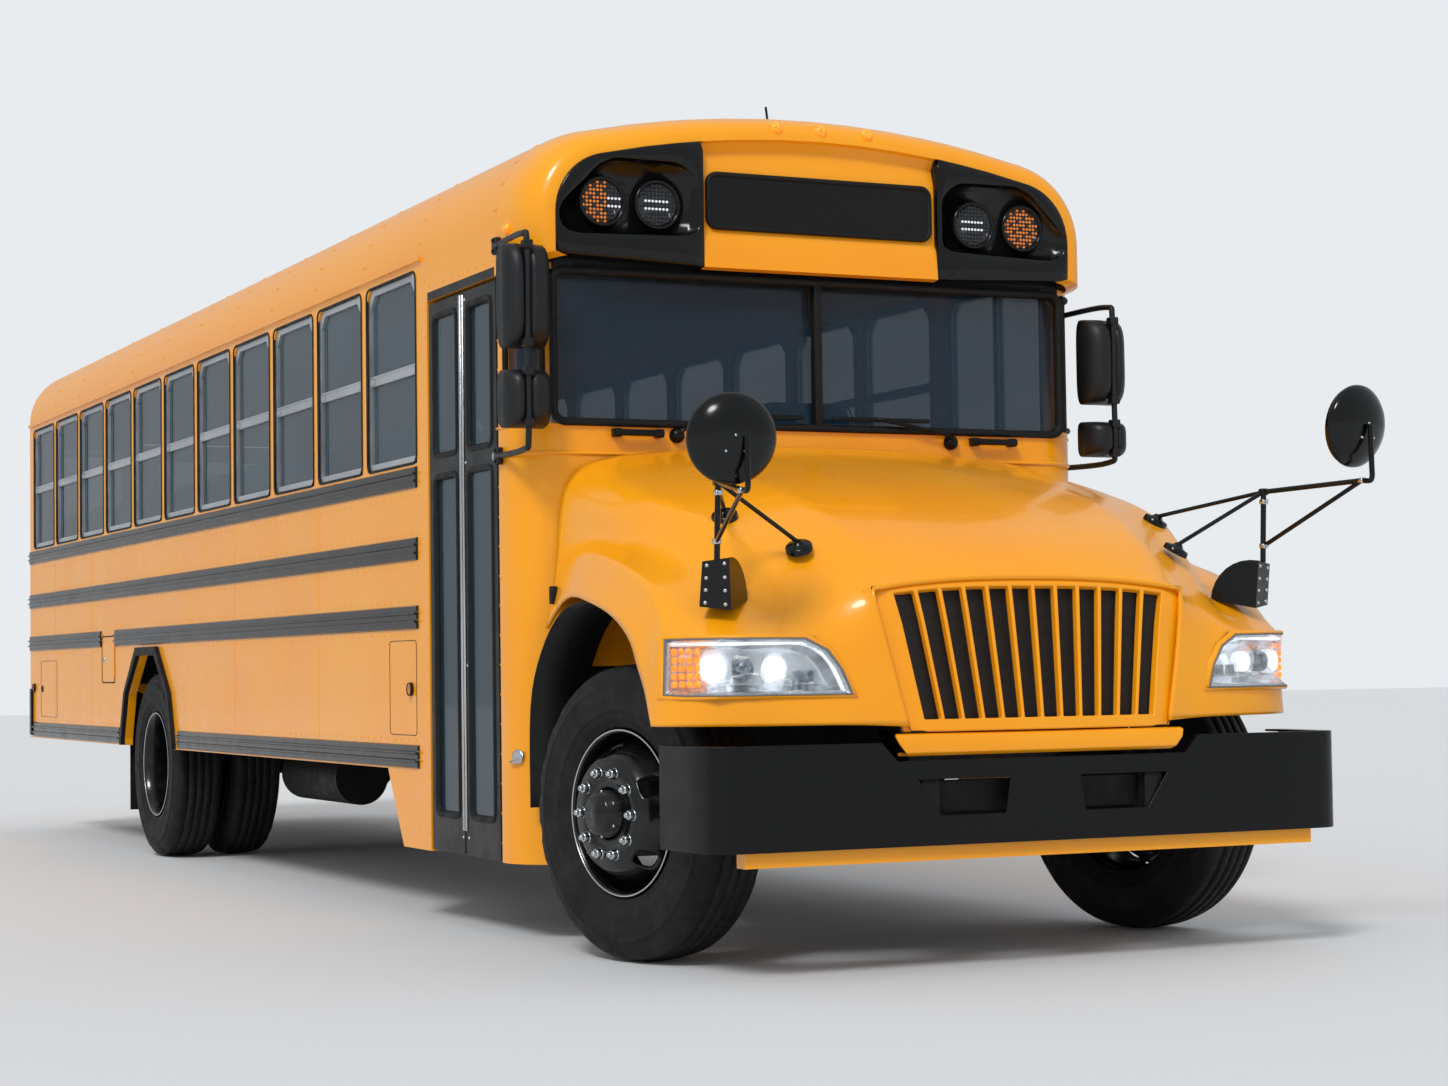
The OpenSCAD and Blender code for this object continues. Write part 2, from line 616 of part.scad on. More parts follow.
module hood() color(paint) difference() {
    hood_mass(0);
    intersection() {
        hood_mass(28);
        block([-1300, -5160, 0], [1300, -3600, 2000]);
    }
    block([-1300, -5160, 0], [1300, -3600, hood_low + 5]);
    block([-900, -5160, 0], [900, -3600, 1100]);
    both_sides() plate_yz(960, 1300) polygon(front_arch);
    // grille and lamp openings
    block([-612, -5250, 700], [612, -5150, 1218]);
    both_sides() block([655, -5250, 898], [1300, -5090, 1092]);
    // seats of the cross-view mirrors' feet
    both_sides() block(cross_box - [61, 46, 76], cross_box + [61, 46, 76]);
    both_sides() block(cross_foot - [30, 30, 30], cross_foot + [30, 30, 30]);
}

module grille() color(paint) {
    difference() {
        plate_xz(-5196, -5160) polygon([[-508, 702], [508, 702], [608, 1215], [-608, 1215]]);
        for (i = [-5.5:1:5.5]) plate_xz(-5197, -5159) polygon([[i * 80 - 29, 822], [i * 80 + 29, 822],
            [i * 93 + 33, 1185], [i * 93 - 33, 1185]]);
    }
    // lugs and pins on which the hood turns
    both_sides() {
        block([rail_x + rail_w + 9, -5161, 750], [rail_x + rail_w + 36, hood_pivot[0], hood_pivot[1]]);
        translate([rail_x + rail_w + 5, hood_pivot[0], hood_pivot[1]]) rotate([0, 90, 0]) cylinder(r = 16, h = 31);
        translate([rail_x + rail_w - 24, hood_pivot[0], hood_pivot[1]]) rotate([0, 90, 0]) cylinder(r = hood_pin_r, h = 40);
    }
}

module headlights() color("#DDE3E6") both_sides()
    plate_xz(-5180, -5095) polygon([[658, 901], [1085, 901], [1105, 1089], [780, 1089]]);

// ---------------------------------------------------------------- doors
leaf_t = [-half_w + 4, -inner_w - 1];
leaf_meet = -3012;
module leaf(y0, y1) plate_yz(leaf_t[0], leaf_t[1]) difference() {
    translate([y0, door_z0 + 6]) square([y1 - y0, door_z1 - door_z0 - 12]);
    translate([y0 + 58, door_z0 + 150]) square([y1 - y0 - 116, 1330]);
    translate([y0 + 58, door_z0 + 1560]) square([y1 - y0 - 116, 560]);
}
module leaf_glass(y0, y1) plate_yz(-half_w + 16, -half_w + 24) {
    translate([y0 + 50, door_z0 + 142]) square([y1 - y0 - 100, 1346]);
    translate([y0 + 50, door_z0 + 1552]) square([y1 - y0 - 100, 576]);
}
// Round post on which a leaf turns
module leaf_pivot(y) translate([-half_w, y, door_z0 + 6]) cylinder(r = 5, h = door_z1 - door_z0 - 12);
module entrance_door_front_leaf() color(black) {
    leaf(door_front + 6, leaf_meet - 4);
    leaf_glass(door_front + 6, leaf_meet - 4);
    leaf_pivot(door_front + 6);
}
module entrance_door_rear_leaf() color(black) {
    leaf(leaf_meet + 4, door_rear - 6);
    leaf_glass(leaf_meet + 4, door_rear - 6);
    leaf_pivot(door_rear - 6);
}
module rear_door() color(paint) {
    plate_xz(body_rear - wall_t + 2, body_rear - 1) difference() {
        translate([-rear_door_x + 6, rear_door_z[0] + 6])
            square([2 * rear_door_x - 12, rear_door_z[1] - rear_door_z[0] - 12]);
        translate([-rear_door_x + 96, 1860]) square([2 * rear_door_x - 192, 600]);
        translate([-rear_door_x + 96, 1160]) square([2 * rear_door_x - 192, 480]);
    }
    plate_xz(body_rear - 28, body_rear - 20) for (p = [[1852, 616], [1152, 496]])
        translate([-rear_door_x + 88, p[0]]) square([2 * rear_door_x - 176, p[1]]);
    // hinges
    for (z = [1080, 1760, 2440]) {
        translate([-rear_door_x + 2, body_rear + rear_hinge_r + 1, z]) cylinder(r = rear_hinge_r, h = 90);
        block([-rear_door_x + 8, body_rear - 2, z], [-rear_door_x + 60, body_rear + 6, z + 90]);
    }
    // handle
    block([300, body_rear + 4, 1720], [400, body_rear + 36, 1760]);
    block([340, body_rear - 2, 1725], [365, body_rear + 5, 1755]);
}
module hatch_lid(y) {
    block([-hatch_half + 8, y - hatch_half + 8, 3118], [hatch_half - 8, y + hatch_half - 8, 3160]);
    translate([-hatch_half + 60, y - hatch_half + 8, 3160]) rotate([0, 90, 0]) cylinder(r = 8, h = 2 * hatch_half - 120);
}
module roof_hatch_front() color("#F4F4F0") hatch_lid(hatch_y[0]);
module roof_hatch_rear() color("#F4F4F0") hatch_lid(hatch_y[1]);

stop_hinge = [half_w + 40, -2330, 1370];
module stop_arm() color("#B3161B") {
    translate([half_w + 26, stop_hinge[1] + 300, stop_hinge[2]]) rotate([0, 90, 0]) rotate([0, 0, 22.5])
        cylinder(r = 243, h = 18, $fn = 8);
    block([half_w + 46, stop_hinge[1], stop_hinge[2] - 60], [half_w + 58, stop_hinge[1] + 200, stop_hinge[2] + 60]);
    translate([stop_hinge[0], stop_hinge[1], stop_hinge[2] - 70]) cylinder(r = 9, h = 140);
}
module fuel_door() color(paint) {
    plate_yz(-half_w, -half_w + 8) filler_outline(0);
    translate([-half_w - 3, filler_y - filler_size[0] / 2, filler_z - 100]) cylinder(r = 3.4, h = 200);
}

// ---------------------------------------------------------------- wheels
// Places its children at a front wheel, turned about the kingpin
module at_front_wheel(side) translate([side * kingpin_x, front_axle_y, axle_z])
    rotate([0, 0, steer_rest]) children();
hub_offset = front_track_x - kingpin_x;

module knuckle(side) at_front_wheel(side) {
    rotate([0, 0, side > 0 ? 0 : 180]) {
        translate([0, 0, -140]) cylinder(r = kingpin_r, h = 240);
        block([-45, -50, 70], [50, 50, 100]);
        block([-45, -50, -140], [50, 50, -80]);
        block([48, -50, -140], [80, 50, 100]);
        translate([78, 0, 0]) rotate([0, 90, 0]) cylinder(r = 40, h = 130);
    }
}
module knuckle_right() color(black) knuckle(-1);
module knuckle_left() color(black) knuckle(1);

// A tyre about the X axis, centred on the origin
module tyre() rotate([0, 90, 0]) rotate_extrude($fn = 128) {
    r = tyre_d / 2;
    bead = rim_d / 2;
    w = tyre_w / 2;
    difference() {
        union() {
            translate([bead, -w + 28]) square([r - bead - 60, 2 * w - 56]);
            translate([bead + 40, -w]) square([r - bead - 110, 2 * w]);
            translate([r - 70, -w + 30]) square([70, 2 * w - 60]);
            for (s = [-1, 1]) translate([r - 70, s * (w - 40)]) circle(r = 40);
            for (s = [-1, 1]) translate([bead + 40, s * (w - 28)]) circle(r = 28);
        }
        translate([bead - 60, -w + 60]) square([90, 2 * w - 120]);
    }
}
// A disc wheel about the X axis, its nave at x = dish, with ten studs and hand holes
module rim(dish) rotate([0, 90, 0]) difference() {
    r = rim_d / 2 - 1;
    w = tyre_w / 2 - 22;
    union() {
        rotate_extrude($fn = 128) {
            difference() {
                translate([r - 40, -w]) square([40, 2 * w]);
                translate([r - 12, -w + 24]) square([13, 2 * w - 48]);
            }
            polygon([[60, dish - 12], [200, dish - 12], [246, 20], [246, -20], [190, dish - 32], [60, dish - 32]]);
        }
        for (a = [0:36:324]) rotate([0, 0, a + 18]) translate([143, 0, dish - 13]) cylinder(r = 17, h = 45);
    }
    for (a = [0:72:288]) rotate([0, 0, a]) translate([196, 0, -200]) cylinder(r = 22, h = 400);
}
module hub(x0, x1, r) rotate([0, 90, 0]) translate([0, 0, x0]) difference() {
    cylinder(r = r, h = x1 - x0);
    translate([0, 0, -1]) cylinder(r = 42, h = min(x1 - x0 - 20, 130));
}
module front_tyre(side) at_front_wheel(side) translate([side * hub_offset, 0, 0]) tyre();
module front_rim(side) at_front_wheel(side) rotate([0, 0, side > 0 ? 0 : 180]) translate([hub_offset, 0, 0]) {
    rim(172);
    hub(-36, 226, 92);
}
module front_right_tyre() color(black) front_tyre(-1);
module front_left_tyre() color(black) front_tyre(1);
module front_right_rim() color(black) front_rim(-1);
module front_left_rim() color(black) front_rim(1);

module at_rear_wheels(side) translate([side * rear_track_x, rear_axle_y, axle_z])
    rotate([0, 0, side > 0 ? 0 : 180]) children();
module rear_tyres(side) at_rear_wheels(side) for (s = [-1, 1]) translate([s * dual_gap / 2, 0, 0]) tyre();
module rear_rims(side) at_rear_wheels(side) {
    translate([-dual_gap / 2, 0, 0]) rim(130);
    translate([dual_gap / 2, 0, 0]) mirror([1, 0, 0]) rim(130);
    rotate([0, 90, 0]) difference() {
        cylinder(r = 92, h = 250, center = true);
        translate([0, 0, -126]) cylinder(r = 43, h = 232);
    }
}
module rear_right_tyres() color(black) rear_tyres(-1);
module rear_left_tyres() color(black) rear_tyres(1);
module rear_right_rims() color(black) rear_rims(-1);
module rear_left_rims() color(black) rear_rims(1);

// ---------------------------------------------------------------- the bus
chassis_rails();
cross_members();
tow_plates();
front_axle();
rear_axle();
leaf_springs();
engine_block();
driveline();
fuel_tank();
air_tanks();
exhaust_pipe();
floor_panel();  // floor
wheel_boxes();
stepwell();
right_side_wall();
left_side_wall();
rear_wall();
roof();
front_cap();
cowl();
windscreen();
window_sashes();
window_glass();
rub_rails();
wheel_arch_trims();
lamp_pods();
body_lamps();
front_bumper();
bumper_strip();
rear_bumper();
mud_flaps();
passenger_seats();
driver_seat();
dashboard();
steering_wheel();
side_mirrors();
antenna();
hood();
grille();
headlights();
crossview_mirrors();
entrance_door_front_leaf();
entrance_door_rear_leaf();
rear_door();
roof_hatch_front();
roof_hatch_rear();
stop_arm();
fuel_door();
knuckle_right();
knuckle_left();
front_right_tyre();
front_right_rim();
front_left_tyre();
front_left_rim();
rear_right_tyres();
rear_right_rims();
rear_left_tyres();
rear_left_rims();
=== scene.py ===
# A long school bus: riveted steel body on a truck chassis, moulded front end that tilts
# forward, glossy yellow enamel, black rub rails and bumpers.  Metres, in the frame's axes.
import math
import bpy
import bmesh
from mathutils import Matrix, Vector


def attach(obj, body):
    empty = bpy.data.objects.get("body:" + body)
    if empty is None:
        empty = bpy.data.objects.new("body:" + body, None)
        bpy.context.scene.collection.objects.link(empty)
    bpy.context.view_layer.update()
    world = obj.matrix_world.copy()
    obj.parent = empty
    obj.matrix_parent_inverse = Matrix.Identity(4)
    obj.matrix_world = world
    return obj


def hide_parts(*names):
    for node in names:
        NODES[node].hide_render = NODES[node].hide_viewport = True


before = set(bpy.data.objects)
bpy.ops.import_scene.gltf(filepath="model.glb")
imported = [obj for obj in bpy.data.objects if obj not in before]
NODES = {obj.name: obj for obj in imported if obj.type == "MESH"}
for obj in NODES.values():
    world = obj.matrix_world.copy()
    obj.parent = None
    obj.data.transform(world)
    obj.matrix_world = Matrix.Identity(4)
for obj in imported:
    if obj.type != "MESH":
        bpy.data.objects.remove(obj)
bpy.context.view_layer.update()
BODY = "chassis_and_body"
SIDES = ((-1, "right"), (1, "left"))
# outer faces of the steel body: half its width, and its back
WALL_X, REAR = 1.2192, 5.400
scene = bpy.context.scene
scene.view_settings.view_transform = "Standard"


# ---------------------------------------------------------------- camera, floor and light
# A pale floor and an even sky, with one broad soft sun from ahead on the door side.  The camera
# stands low, ahead of the door-side corner, with a lens of about 68 mm.
def srgb(text):
    parts = [int(text[i:i + 2], 16) / 255 for i in (1, 3, 5)]
    return [c / 12.92 if c <= 0.04045 else ((c + 0.055) / 1.055) ** 2.4 for c in parts] + [1.0]


def add(tree, kind, settings=None, **links):
    """Adds a node: settings are its own properties, links are values or sockets for its inputs."""
    made = tree.nodes.new(kind)
    for key, value in (settings or {}).items():
        setattr(made, key, value)
    for key, value in links.items():
        name = key.replace("_", " ")
        socket = made.inputs[int(name[1:])] if name[0] == "i" and name[1:].isdigit() else made.inputs[name]
        if isinstance(value, bpy.types.NodeSocket):
            tree.links.new(value, socket)
        else:
            socket.default_value = value
    return made


CAMERA_PLACE = (-4.807, -12.948, 0.998)
CAMERA_YAW = 25.34
CAMERA_PITCH = 2.613
CAMERA_ROLL = -0.79
CAMERA_LENS = 67.86

camera = bpy.data.objects.new("camera", bpy.data.cameras.new("camera"))
scene.collection.objects.link(camera)
camera.data.lens = CAMERA_LENS
camera.data.sensor_width = 36
turn = Matrix.Rotation(math.radians(-CAMERA_YAW), 4, "Z")
tip = Matrix.Rotation(math.radians(90 + CAMERA_PITCH), 4, "X")
roll = Matrix.Rotation(math.radians(CAMERA_ROLL), 4, "Z")
camera.matrix_world = Matrix.Translation(CAMERA_PLACE) @ turn @ tip @ roll
scene.camera = camera

FLOOR_COLOUR = srgb("#DADBDC")
SKY_COLOUR = srgb("#EEF1F4")
SKY_LIGHT = 0.78
world = bpy.data.worlds.new("studio")
scene.world = world
world.use_nodes = True
sky = world.node_tree
sky.nodes.clear()
rays = add(sky, "ShaderNodeLightPath")
seen = add(sky, "ShaderNodeMath", {"operation": "ADD", "use_clamp": True},
           i0=rays.outputs["Is Camera Ray"], i1=rays.outputs["Is Transmission Ray"])
lit = add(sky, "ShaderNodeBackground", Color=SKY_COLOUR, Strength=SKY_LIGHT)
shown = add(sky, "ShaderNodeBackground", Color=SKY_COLOUR, Strength=0.95)
mirrored_sky = add(sky, "ShaderNodeBackground", Color=SKY_COLOUR, Strength=0.60)
blend = add(sky, "ShaderNodeMixShader", Fac=rays.outputs["Is Glossy Ray"], i1=lit.outputs[0],
            i2=mirrored_sky.outputs[0])
blend = add(sky, "ShaderNodeMixShader", Fac=seen.outputs[0], i1=blend.outputs[0], i2=shown.outputs[0])
add(sky, "ShaderNodeOutputWorld", Surface=blend.outputs[0])

sun = bpy.data.objects.new("sun", bpy.data.lights.new("sun", "SUN"))
scene.collection.objects.link(sun)
sun.data.energy = 1.5
sun.data.angle = math.radians(14)
sun.rotation_euler = (math.radians(42), math.radians(-20), math.radians(-24))

FLOOR_HALF = 60
floor_mesh = bpy.data.meshes.new("floor")
CORNERS = ((-1, -1), (1, -1), (1, 1), (-1, 1))
floor_mesh.from_pydata([(x * FLOOR_HALF, y * FLOOR_HALF, 0) for x, y in CORNERS],
                       [], [(0, 1, 2, 3)])
ground = bpy.data.objects.new("floor", floor_mesh)
scene.collection.objects.link(ground)
ground_finish = bpy.data.materials.new("matt floor")
ground_finish.use_nodes = True
ground_shader = ground_finish.node_tree.nodes["Principled BSDF"]
ground_shader.inputs["Base Color"].default_value = FLOOR_COLOUR
ground_shader.inputs["Roughness"].default_value = 0.85
floor_mesh.materials.append(ground_finish)


# ---------------------------------------------------------------- what every piece uses
# A material is one Principled shader named for the real finish; a piece is a mesh that rides
# on a body of the frame and, where it stands for a node, hides it.
def surface(name, colour, **values):
    finish = bpy.data.materials.new(name)
    finish.use_nodes = True
    tree = finish.node_tree
    shader = tree.nodes["Principled BSDF"]
    shader.inputs["Base Color"].default_value = srgb(colour)
    for key, value in values.items():
        shader.inputs[key.replace("_", " ")].default_value = value
    return finish, tree, shader


def place(tree):
    return add(tree, "ShaderNodeTexCoord").outputs["Object"]


def vary(tree, shader, socket, size_mm, low, high, detail=3.0):
    """Lets a value or a colour of the shader wander between low and high over size_mm."""
    noise = add(tree, "ShaderNodeTexNoise", Vector=place(tree), Scale=1000 / size_mm, Detail=detail)
    ramp = add(tree, "ShaderNodeValToRGB", Fac=noise.outputs["Fac"])
    ramp.color_ramp.elements[0].position = 0.35
    ramp.color_ramp.elements[1].position = 0.65
    ramp.color_ramp.elements[0].color = low if isinstance(low, list) else (low, low, low, 1)
    ramp.color_ramp.elements[1].color = high if isinstance(high, list) else (high, high, high, 1)
    tree.links.new(ramp.outputs["Color"], shader.inputs[socket])


def emboss(tree, shader, height, depth_mm):
    bump = add(tree, "ShaderNodeBump", Height=height, Distance=depth_mm / 1000, Strength=1.0)
    tree.links.new(bump.outputs["Normal"], shader.inputs["Normal"])


def grain(tree, shader, size_mm, depth_mm, detail=2.0):
    noise = add(tree, "ShaderNodeTexNoise", Vector=place(tree), Scale=1000 / size_mm, Detail=detail)
    emboss(tree, shader, noise.outputs["Fac"], depth_mm)


def mounted(name, mesh, finish, body, smooth):
    """The object of a mesh, in its finish and riding on a body."""
    mesh.materials.append(finish)
    if smooth:
        mesh.polygons.foreach_set("use_smooth", [True] * len(mesh.polygons))
    made = bpy.data.objects.new(name, mesh)
    scene.collection.objects.link(made)
    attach(made, body)
    return made


def piece(name, points, faces, finish, body=BODY, smooth=True):
    mesh = bpy.data.meshes.new(name)
    mesh.from_pydata([tuple(p) for p in points], [], faces)
    mesh.validate()
    return mounted(name, mesh, finish, body, smooth)


def modify(made, kind, **settings):
    added = made.modifiers.new(kind.lower(), kind)
    for key, value in settings.items():
        setattr(added, key, value)
    return made


def soften(made, width, segments=2, angle=30):
    return modify(made, "BEVEL", width=width, segments=segments, limit_method="ANGLE",
                  angle_limit=math.radians(angle), harden_normals=True)


def from_bm(name, bm, finish, body=BODY, smooth=True):
    mesh = bpy.data.meshes.new(name)
    bmesh.ops.recalc_face_normals(bm, faces=bm.faces)
    bm.to_mesh(mesh)
    bm.free()
    return mounted(name, mesh, finish, body, smooth)


def add_box(bm, low, high, bevel=0.0, segments=2):
    size = Vector(high) - Vector(low)
    made = bmesh.ops.create_cube(bm, size=1, matrix=Matrix.Translation((Vector(low) + Vector(high)) / 2)
                                 @ Matrix.Diagonal((*size, 1)))
    if bevel:
        edges = {e for v in made["verts"] for e in v.link_edges}
        bmesh.ops.bevel(bm, geom=list(edges), offset=bevel, segments=segments, affect="EDGES", profile=0.5)


def turned(spot, *turns):
    """A frame at a spot, turned by degrees about the named axes one after another."""
    made = Matrix.Translation(spot)
    for degrees, about in turns:
        made = made @ Matrix.Rotation(math.radians(degrees), 4, about)
    return made


def aimed(spot, direction):
    """A frame at a spot whose Z axis points along a direction."""
    return Matrix.Translation(spot) @ Vector(direction).to_track_quat("Z", "Y").to_matrix().to_4x4()


def add_lathe(bm, profile, segments, matrix):
    """Turns profile points (along the axis, radius) about the matrix's Z axis."""
    rings = []
    turns = [math.tau * k / segments for k in range(segments)]
    for along, radius in profile:
        if radius < 1e-6:
            rings.append([bm.verts.new(matrix @ Vector((0, 0, along)))] * segments)
        else:
            rings.append([bm.verts.new(matrix @ Vector((radius * math.cos(a), radius * math.sin(a), along)))
                          for a in turns])
    for a, b in zip(rings, rings[1:]):
        for k in range(segments):
            corners = []
            for v in (a[k], a[(k + 1) % segments], b[(k + 1) % segments], b[k]):
                if v not in corners:
                    corners.append(v)
            if len(corners) > 2:
                bm.faces.new(corners)


def ring_strip(bm, loops):
    """Faces between closed loops of points."""
    for a, b in zip(loops, loops[1:]):
        for k in range(len(a)):
            bm.faces.new((a[k], a[(k + 1) % len(a)], b[(k + 1) % len(b)], b[k]))


def add_tube(bm, route, radius, segments=10):
    """A closed round bar along the points of a route."""
    route = [Vector(p) for p in route]
    rings = []
    side = None
    for k, point in enumerate(route):
        ahead = (route[min(k + 1, len(route) - 1)] - route[max(k - 1, 0)]).normalized()
        if side is None:
            side = ahead.orthogonal().normalized()
        side = (side - ahead * side.dot(ahead)).normalized()
        other = ahead.cross(side)
        rings.append([bm.verts.new(point + (side * math.cos(math.tau * j / segments)
                                            + other * math.sin(math.tau * j / segments)) * radius)
                      for j in range(segments)])
    ring_strip(bm, rings)
    bm.faces.new(rings[0])
    bm.faces.new(list(reversed(rings[-1])))


def smooth_route(points, steps=6):
    """Catmull-Rom points through a few corners of a bent tube."""
    points = [Vector(p) for p in points]
    out = []
    for k in range(len(points) - 1):
        p0, p1, p2 = points[max(k - 1, 0)], points[k], points[k + 1]
        p3 = points[min(k + 2, len(points) - 1)]
        for s in range(steps):
            t = s / steps
            out.append(0.5 * (2 * p1 + (p2 - p0) * t + (2 * p0 - 5 * p1 + 4 * p2 - p3) * t * t
                              + (3 * p1 - p0 - 3 * p2 + p3) * t ** 3))
    return out + [points[-1]]


def rounded_box(half_x, half_z, radius, steps=8):
    """Points round a rectangle with rounded corners."""
    out = []
    for right, up, start in ((1, 1, 0), (-1, 1, 90), (-1, -1, 180), (1, -1, 270)):
        for k in range(steps + 1):
            a = math.radians(start + 90 * k / steps)
            out.append((right * (half_x - radius) + radius * math.cos(a),
                        up * (half_z - radius) + radius * math.sin(a)))
    return out


def skin(bm, rows):
    """Faces between rows of points, each row open at its ends."""
    for a, b in zip(rows, rows[1:]):
        for k in range(len(a) - 1):
            bm.faces.new((a[k], a[k + 1], b[k + 1], b[k]))


# ---------------------------------------------------------------- finishes of the carried-over steel
# Body enamel: sprayed two-pack yellow over steel, a hard gloss with a faint orange peel that
# makes its reflections waver, and panels that differ a little in tone.
enamel, tree, shader = surface("school bus yellow enamel", "#FBA208", Roughness=0.30, Coat_Weight=0.35,
                               Coat_Roughness=0.06, Specular_IOR_Level=0.35)
vary(tree, shader, "Base Color", 900, srgb("#FA9F05"), srgb("#FCA70E"))
vary(tree, shader, "Roughness", 240, 0.24, 0.34)
grain(tree, shader, 9, 0.05)

white_enamel, tree, shader = surface("white roof enamel", "#F1F1EE", Roughness=0.35, Coat_Weight=0.3)
vary(tree, shader, "Base Color", 700, srgb("#F3F3F0"), srgb("#E9E9E4"))
grain(tree, shader, 10, 0.06)

# Chassis enamel: brushed-on black over rolled steel, semi-gloss with road dust in its hollows.
chassis_black, tree, shader = surface("chassis black enamel", "#0E0E0F", Roughness=0.5,
                                      Specular_IOR_Level=0.2)
vary(tree, shader, "Base Color", 160, srgb("#0B0B0C"), srgb("#1A1A19"), 6)
vary(tree, shader, "Roughness", 60, 0.38, 0.62)
grain(tree, shader, 4, 0.15, 4)

satin_black, tree, shader = surface("satin black enamel", "#0A0B0C", Roughness=0.35, Coat_Weight=0.08,
                                    Coat_Roughness=0.08, Specular_IOR_Level=0.2)
vary(tree, shader, "Roughness", 120, 0.30, 0.42)
grain(tree, shader, 6, 0.04)

cast_iron, tree, shader = surface("painted iron casting", "#3A3D40", Roughness=0.6, Metallic=0.2)
vary(tree, shader, "Base Color", 90, srgb("#303336"), srgb("#484A4C"), 5)
grain(tree, shader, 3, 0.5, 4)

aluminised, tree, shader = surface("aluminised exhaust steel", "#8E8B85", Roughness=0.42, Metallic=0.9)
vary(tree, shader, "Base Color", 120, srgb("#7A7064"), srgb("#A09D97"), 5)
grain(tree, shader, 5, 0.08)

floor_rubber, tree, shader = surface("ribbed floor rubber", "#232426", Roughness=0.7)
ribs = add(tree, "ShaderNodeTexWave", {"wave_type": "BANDS", "bands_direction": "X"}, Vector=place(tree),
           Scale=1000 / 12 / math.tau)
emboss(tree, shader, ribs.outputs["Fac"], 1.5)
vary(tree, shader, "Base Color", 300, srgb("#1F2022"), srgb("#2C2C2B"))

moulded_rubber, tree, shader = surface("moulded black rubber", "#101112", Roughness=0.62,
                                       Specular_IOR_Level=0.3)
vary(tree, shader, "Roughness", 50, 0.52, 0.7)
grain(tree, shader, 2.5, 0.12, 3)

gloss_black, tree, shader = surface("gloss black moulding", "#08090A", Roughness=0.16, Coat_Weight=0.1,
                                    Coat_Roughness=0.04, Specular_IOR_Level=0.30)
vary(tree, shader, "Roughness", 90, 0.12, 0.22)
grain(tree, shader, 12, 0.03)

dash_vinyl, tree, shader = surface("grained dashboard moulding", "#2E3134", Roughness=0.6)
vary(tree, shader, "Roughness", 30, 0.52, 0.68)
grain(tree, shader, 1.6, 0.15, 3)

CARRIED = {
    chassis_black: ("chassis_rails", "cross_members", "tow_plates", "front_axle", "rear_axle",
                    "leaf_springs", "knuckle_right", "knuckle_left", "fuel_tank", "air_tanks"),
    cast_iron: ("engine_block", "driveline"),
    aluminised: ("exhaust_pipe",),
    floor_rubber: ("floor", "wheel_boxes", "stepwell"),
    enamel: ("right_side_wall", "left_side_wall", "rear_wall", "cowl", "bumper_strip", "fuel_door"),
    satin_black: ("rear_bumper", "antenna"),
    moulded_rubber: ("mud_flaps", "wheel_arch_trims"),
    dash_vinyl: ("dashboard",),
    gloss_black: ("steering_wheel",)}


def repaint(node, finish):
    """Gives a node that is carried over as it is its real finish."""
    NODES[node].data.materials.clear()
    NODES[node].data.materials.append(finish)


for finish, nodes in CARRIED.items():
    for node in nodes:
        repaint(node, finish)
for node in ("right_side_wall", "left_side_wall", "rear_wall", "fuel_door", "rear_bumper", "bumper_strip",
             "mud_flaps", "wheel_arch_trims", "dashboard", "chassis_rails", "engine_block", "front_axle",
             "leaf_springs", "cowl"):
    soften(NODES[node], 0.003)


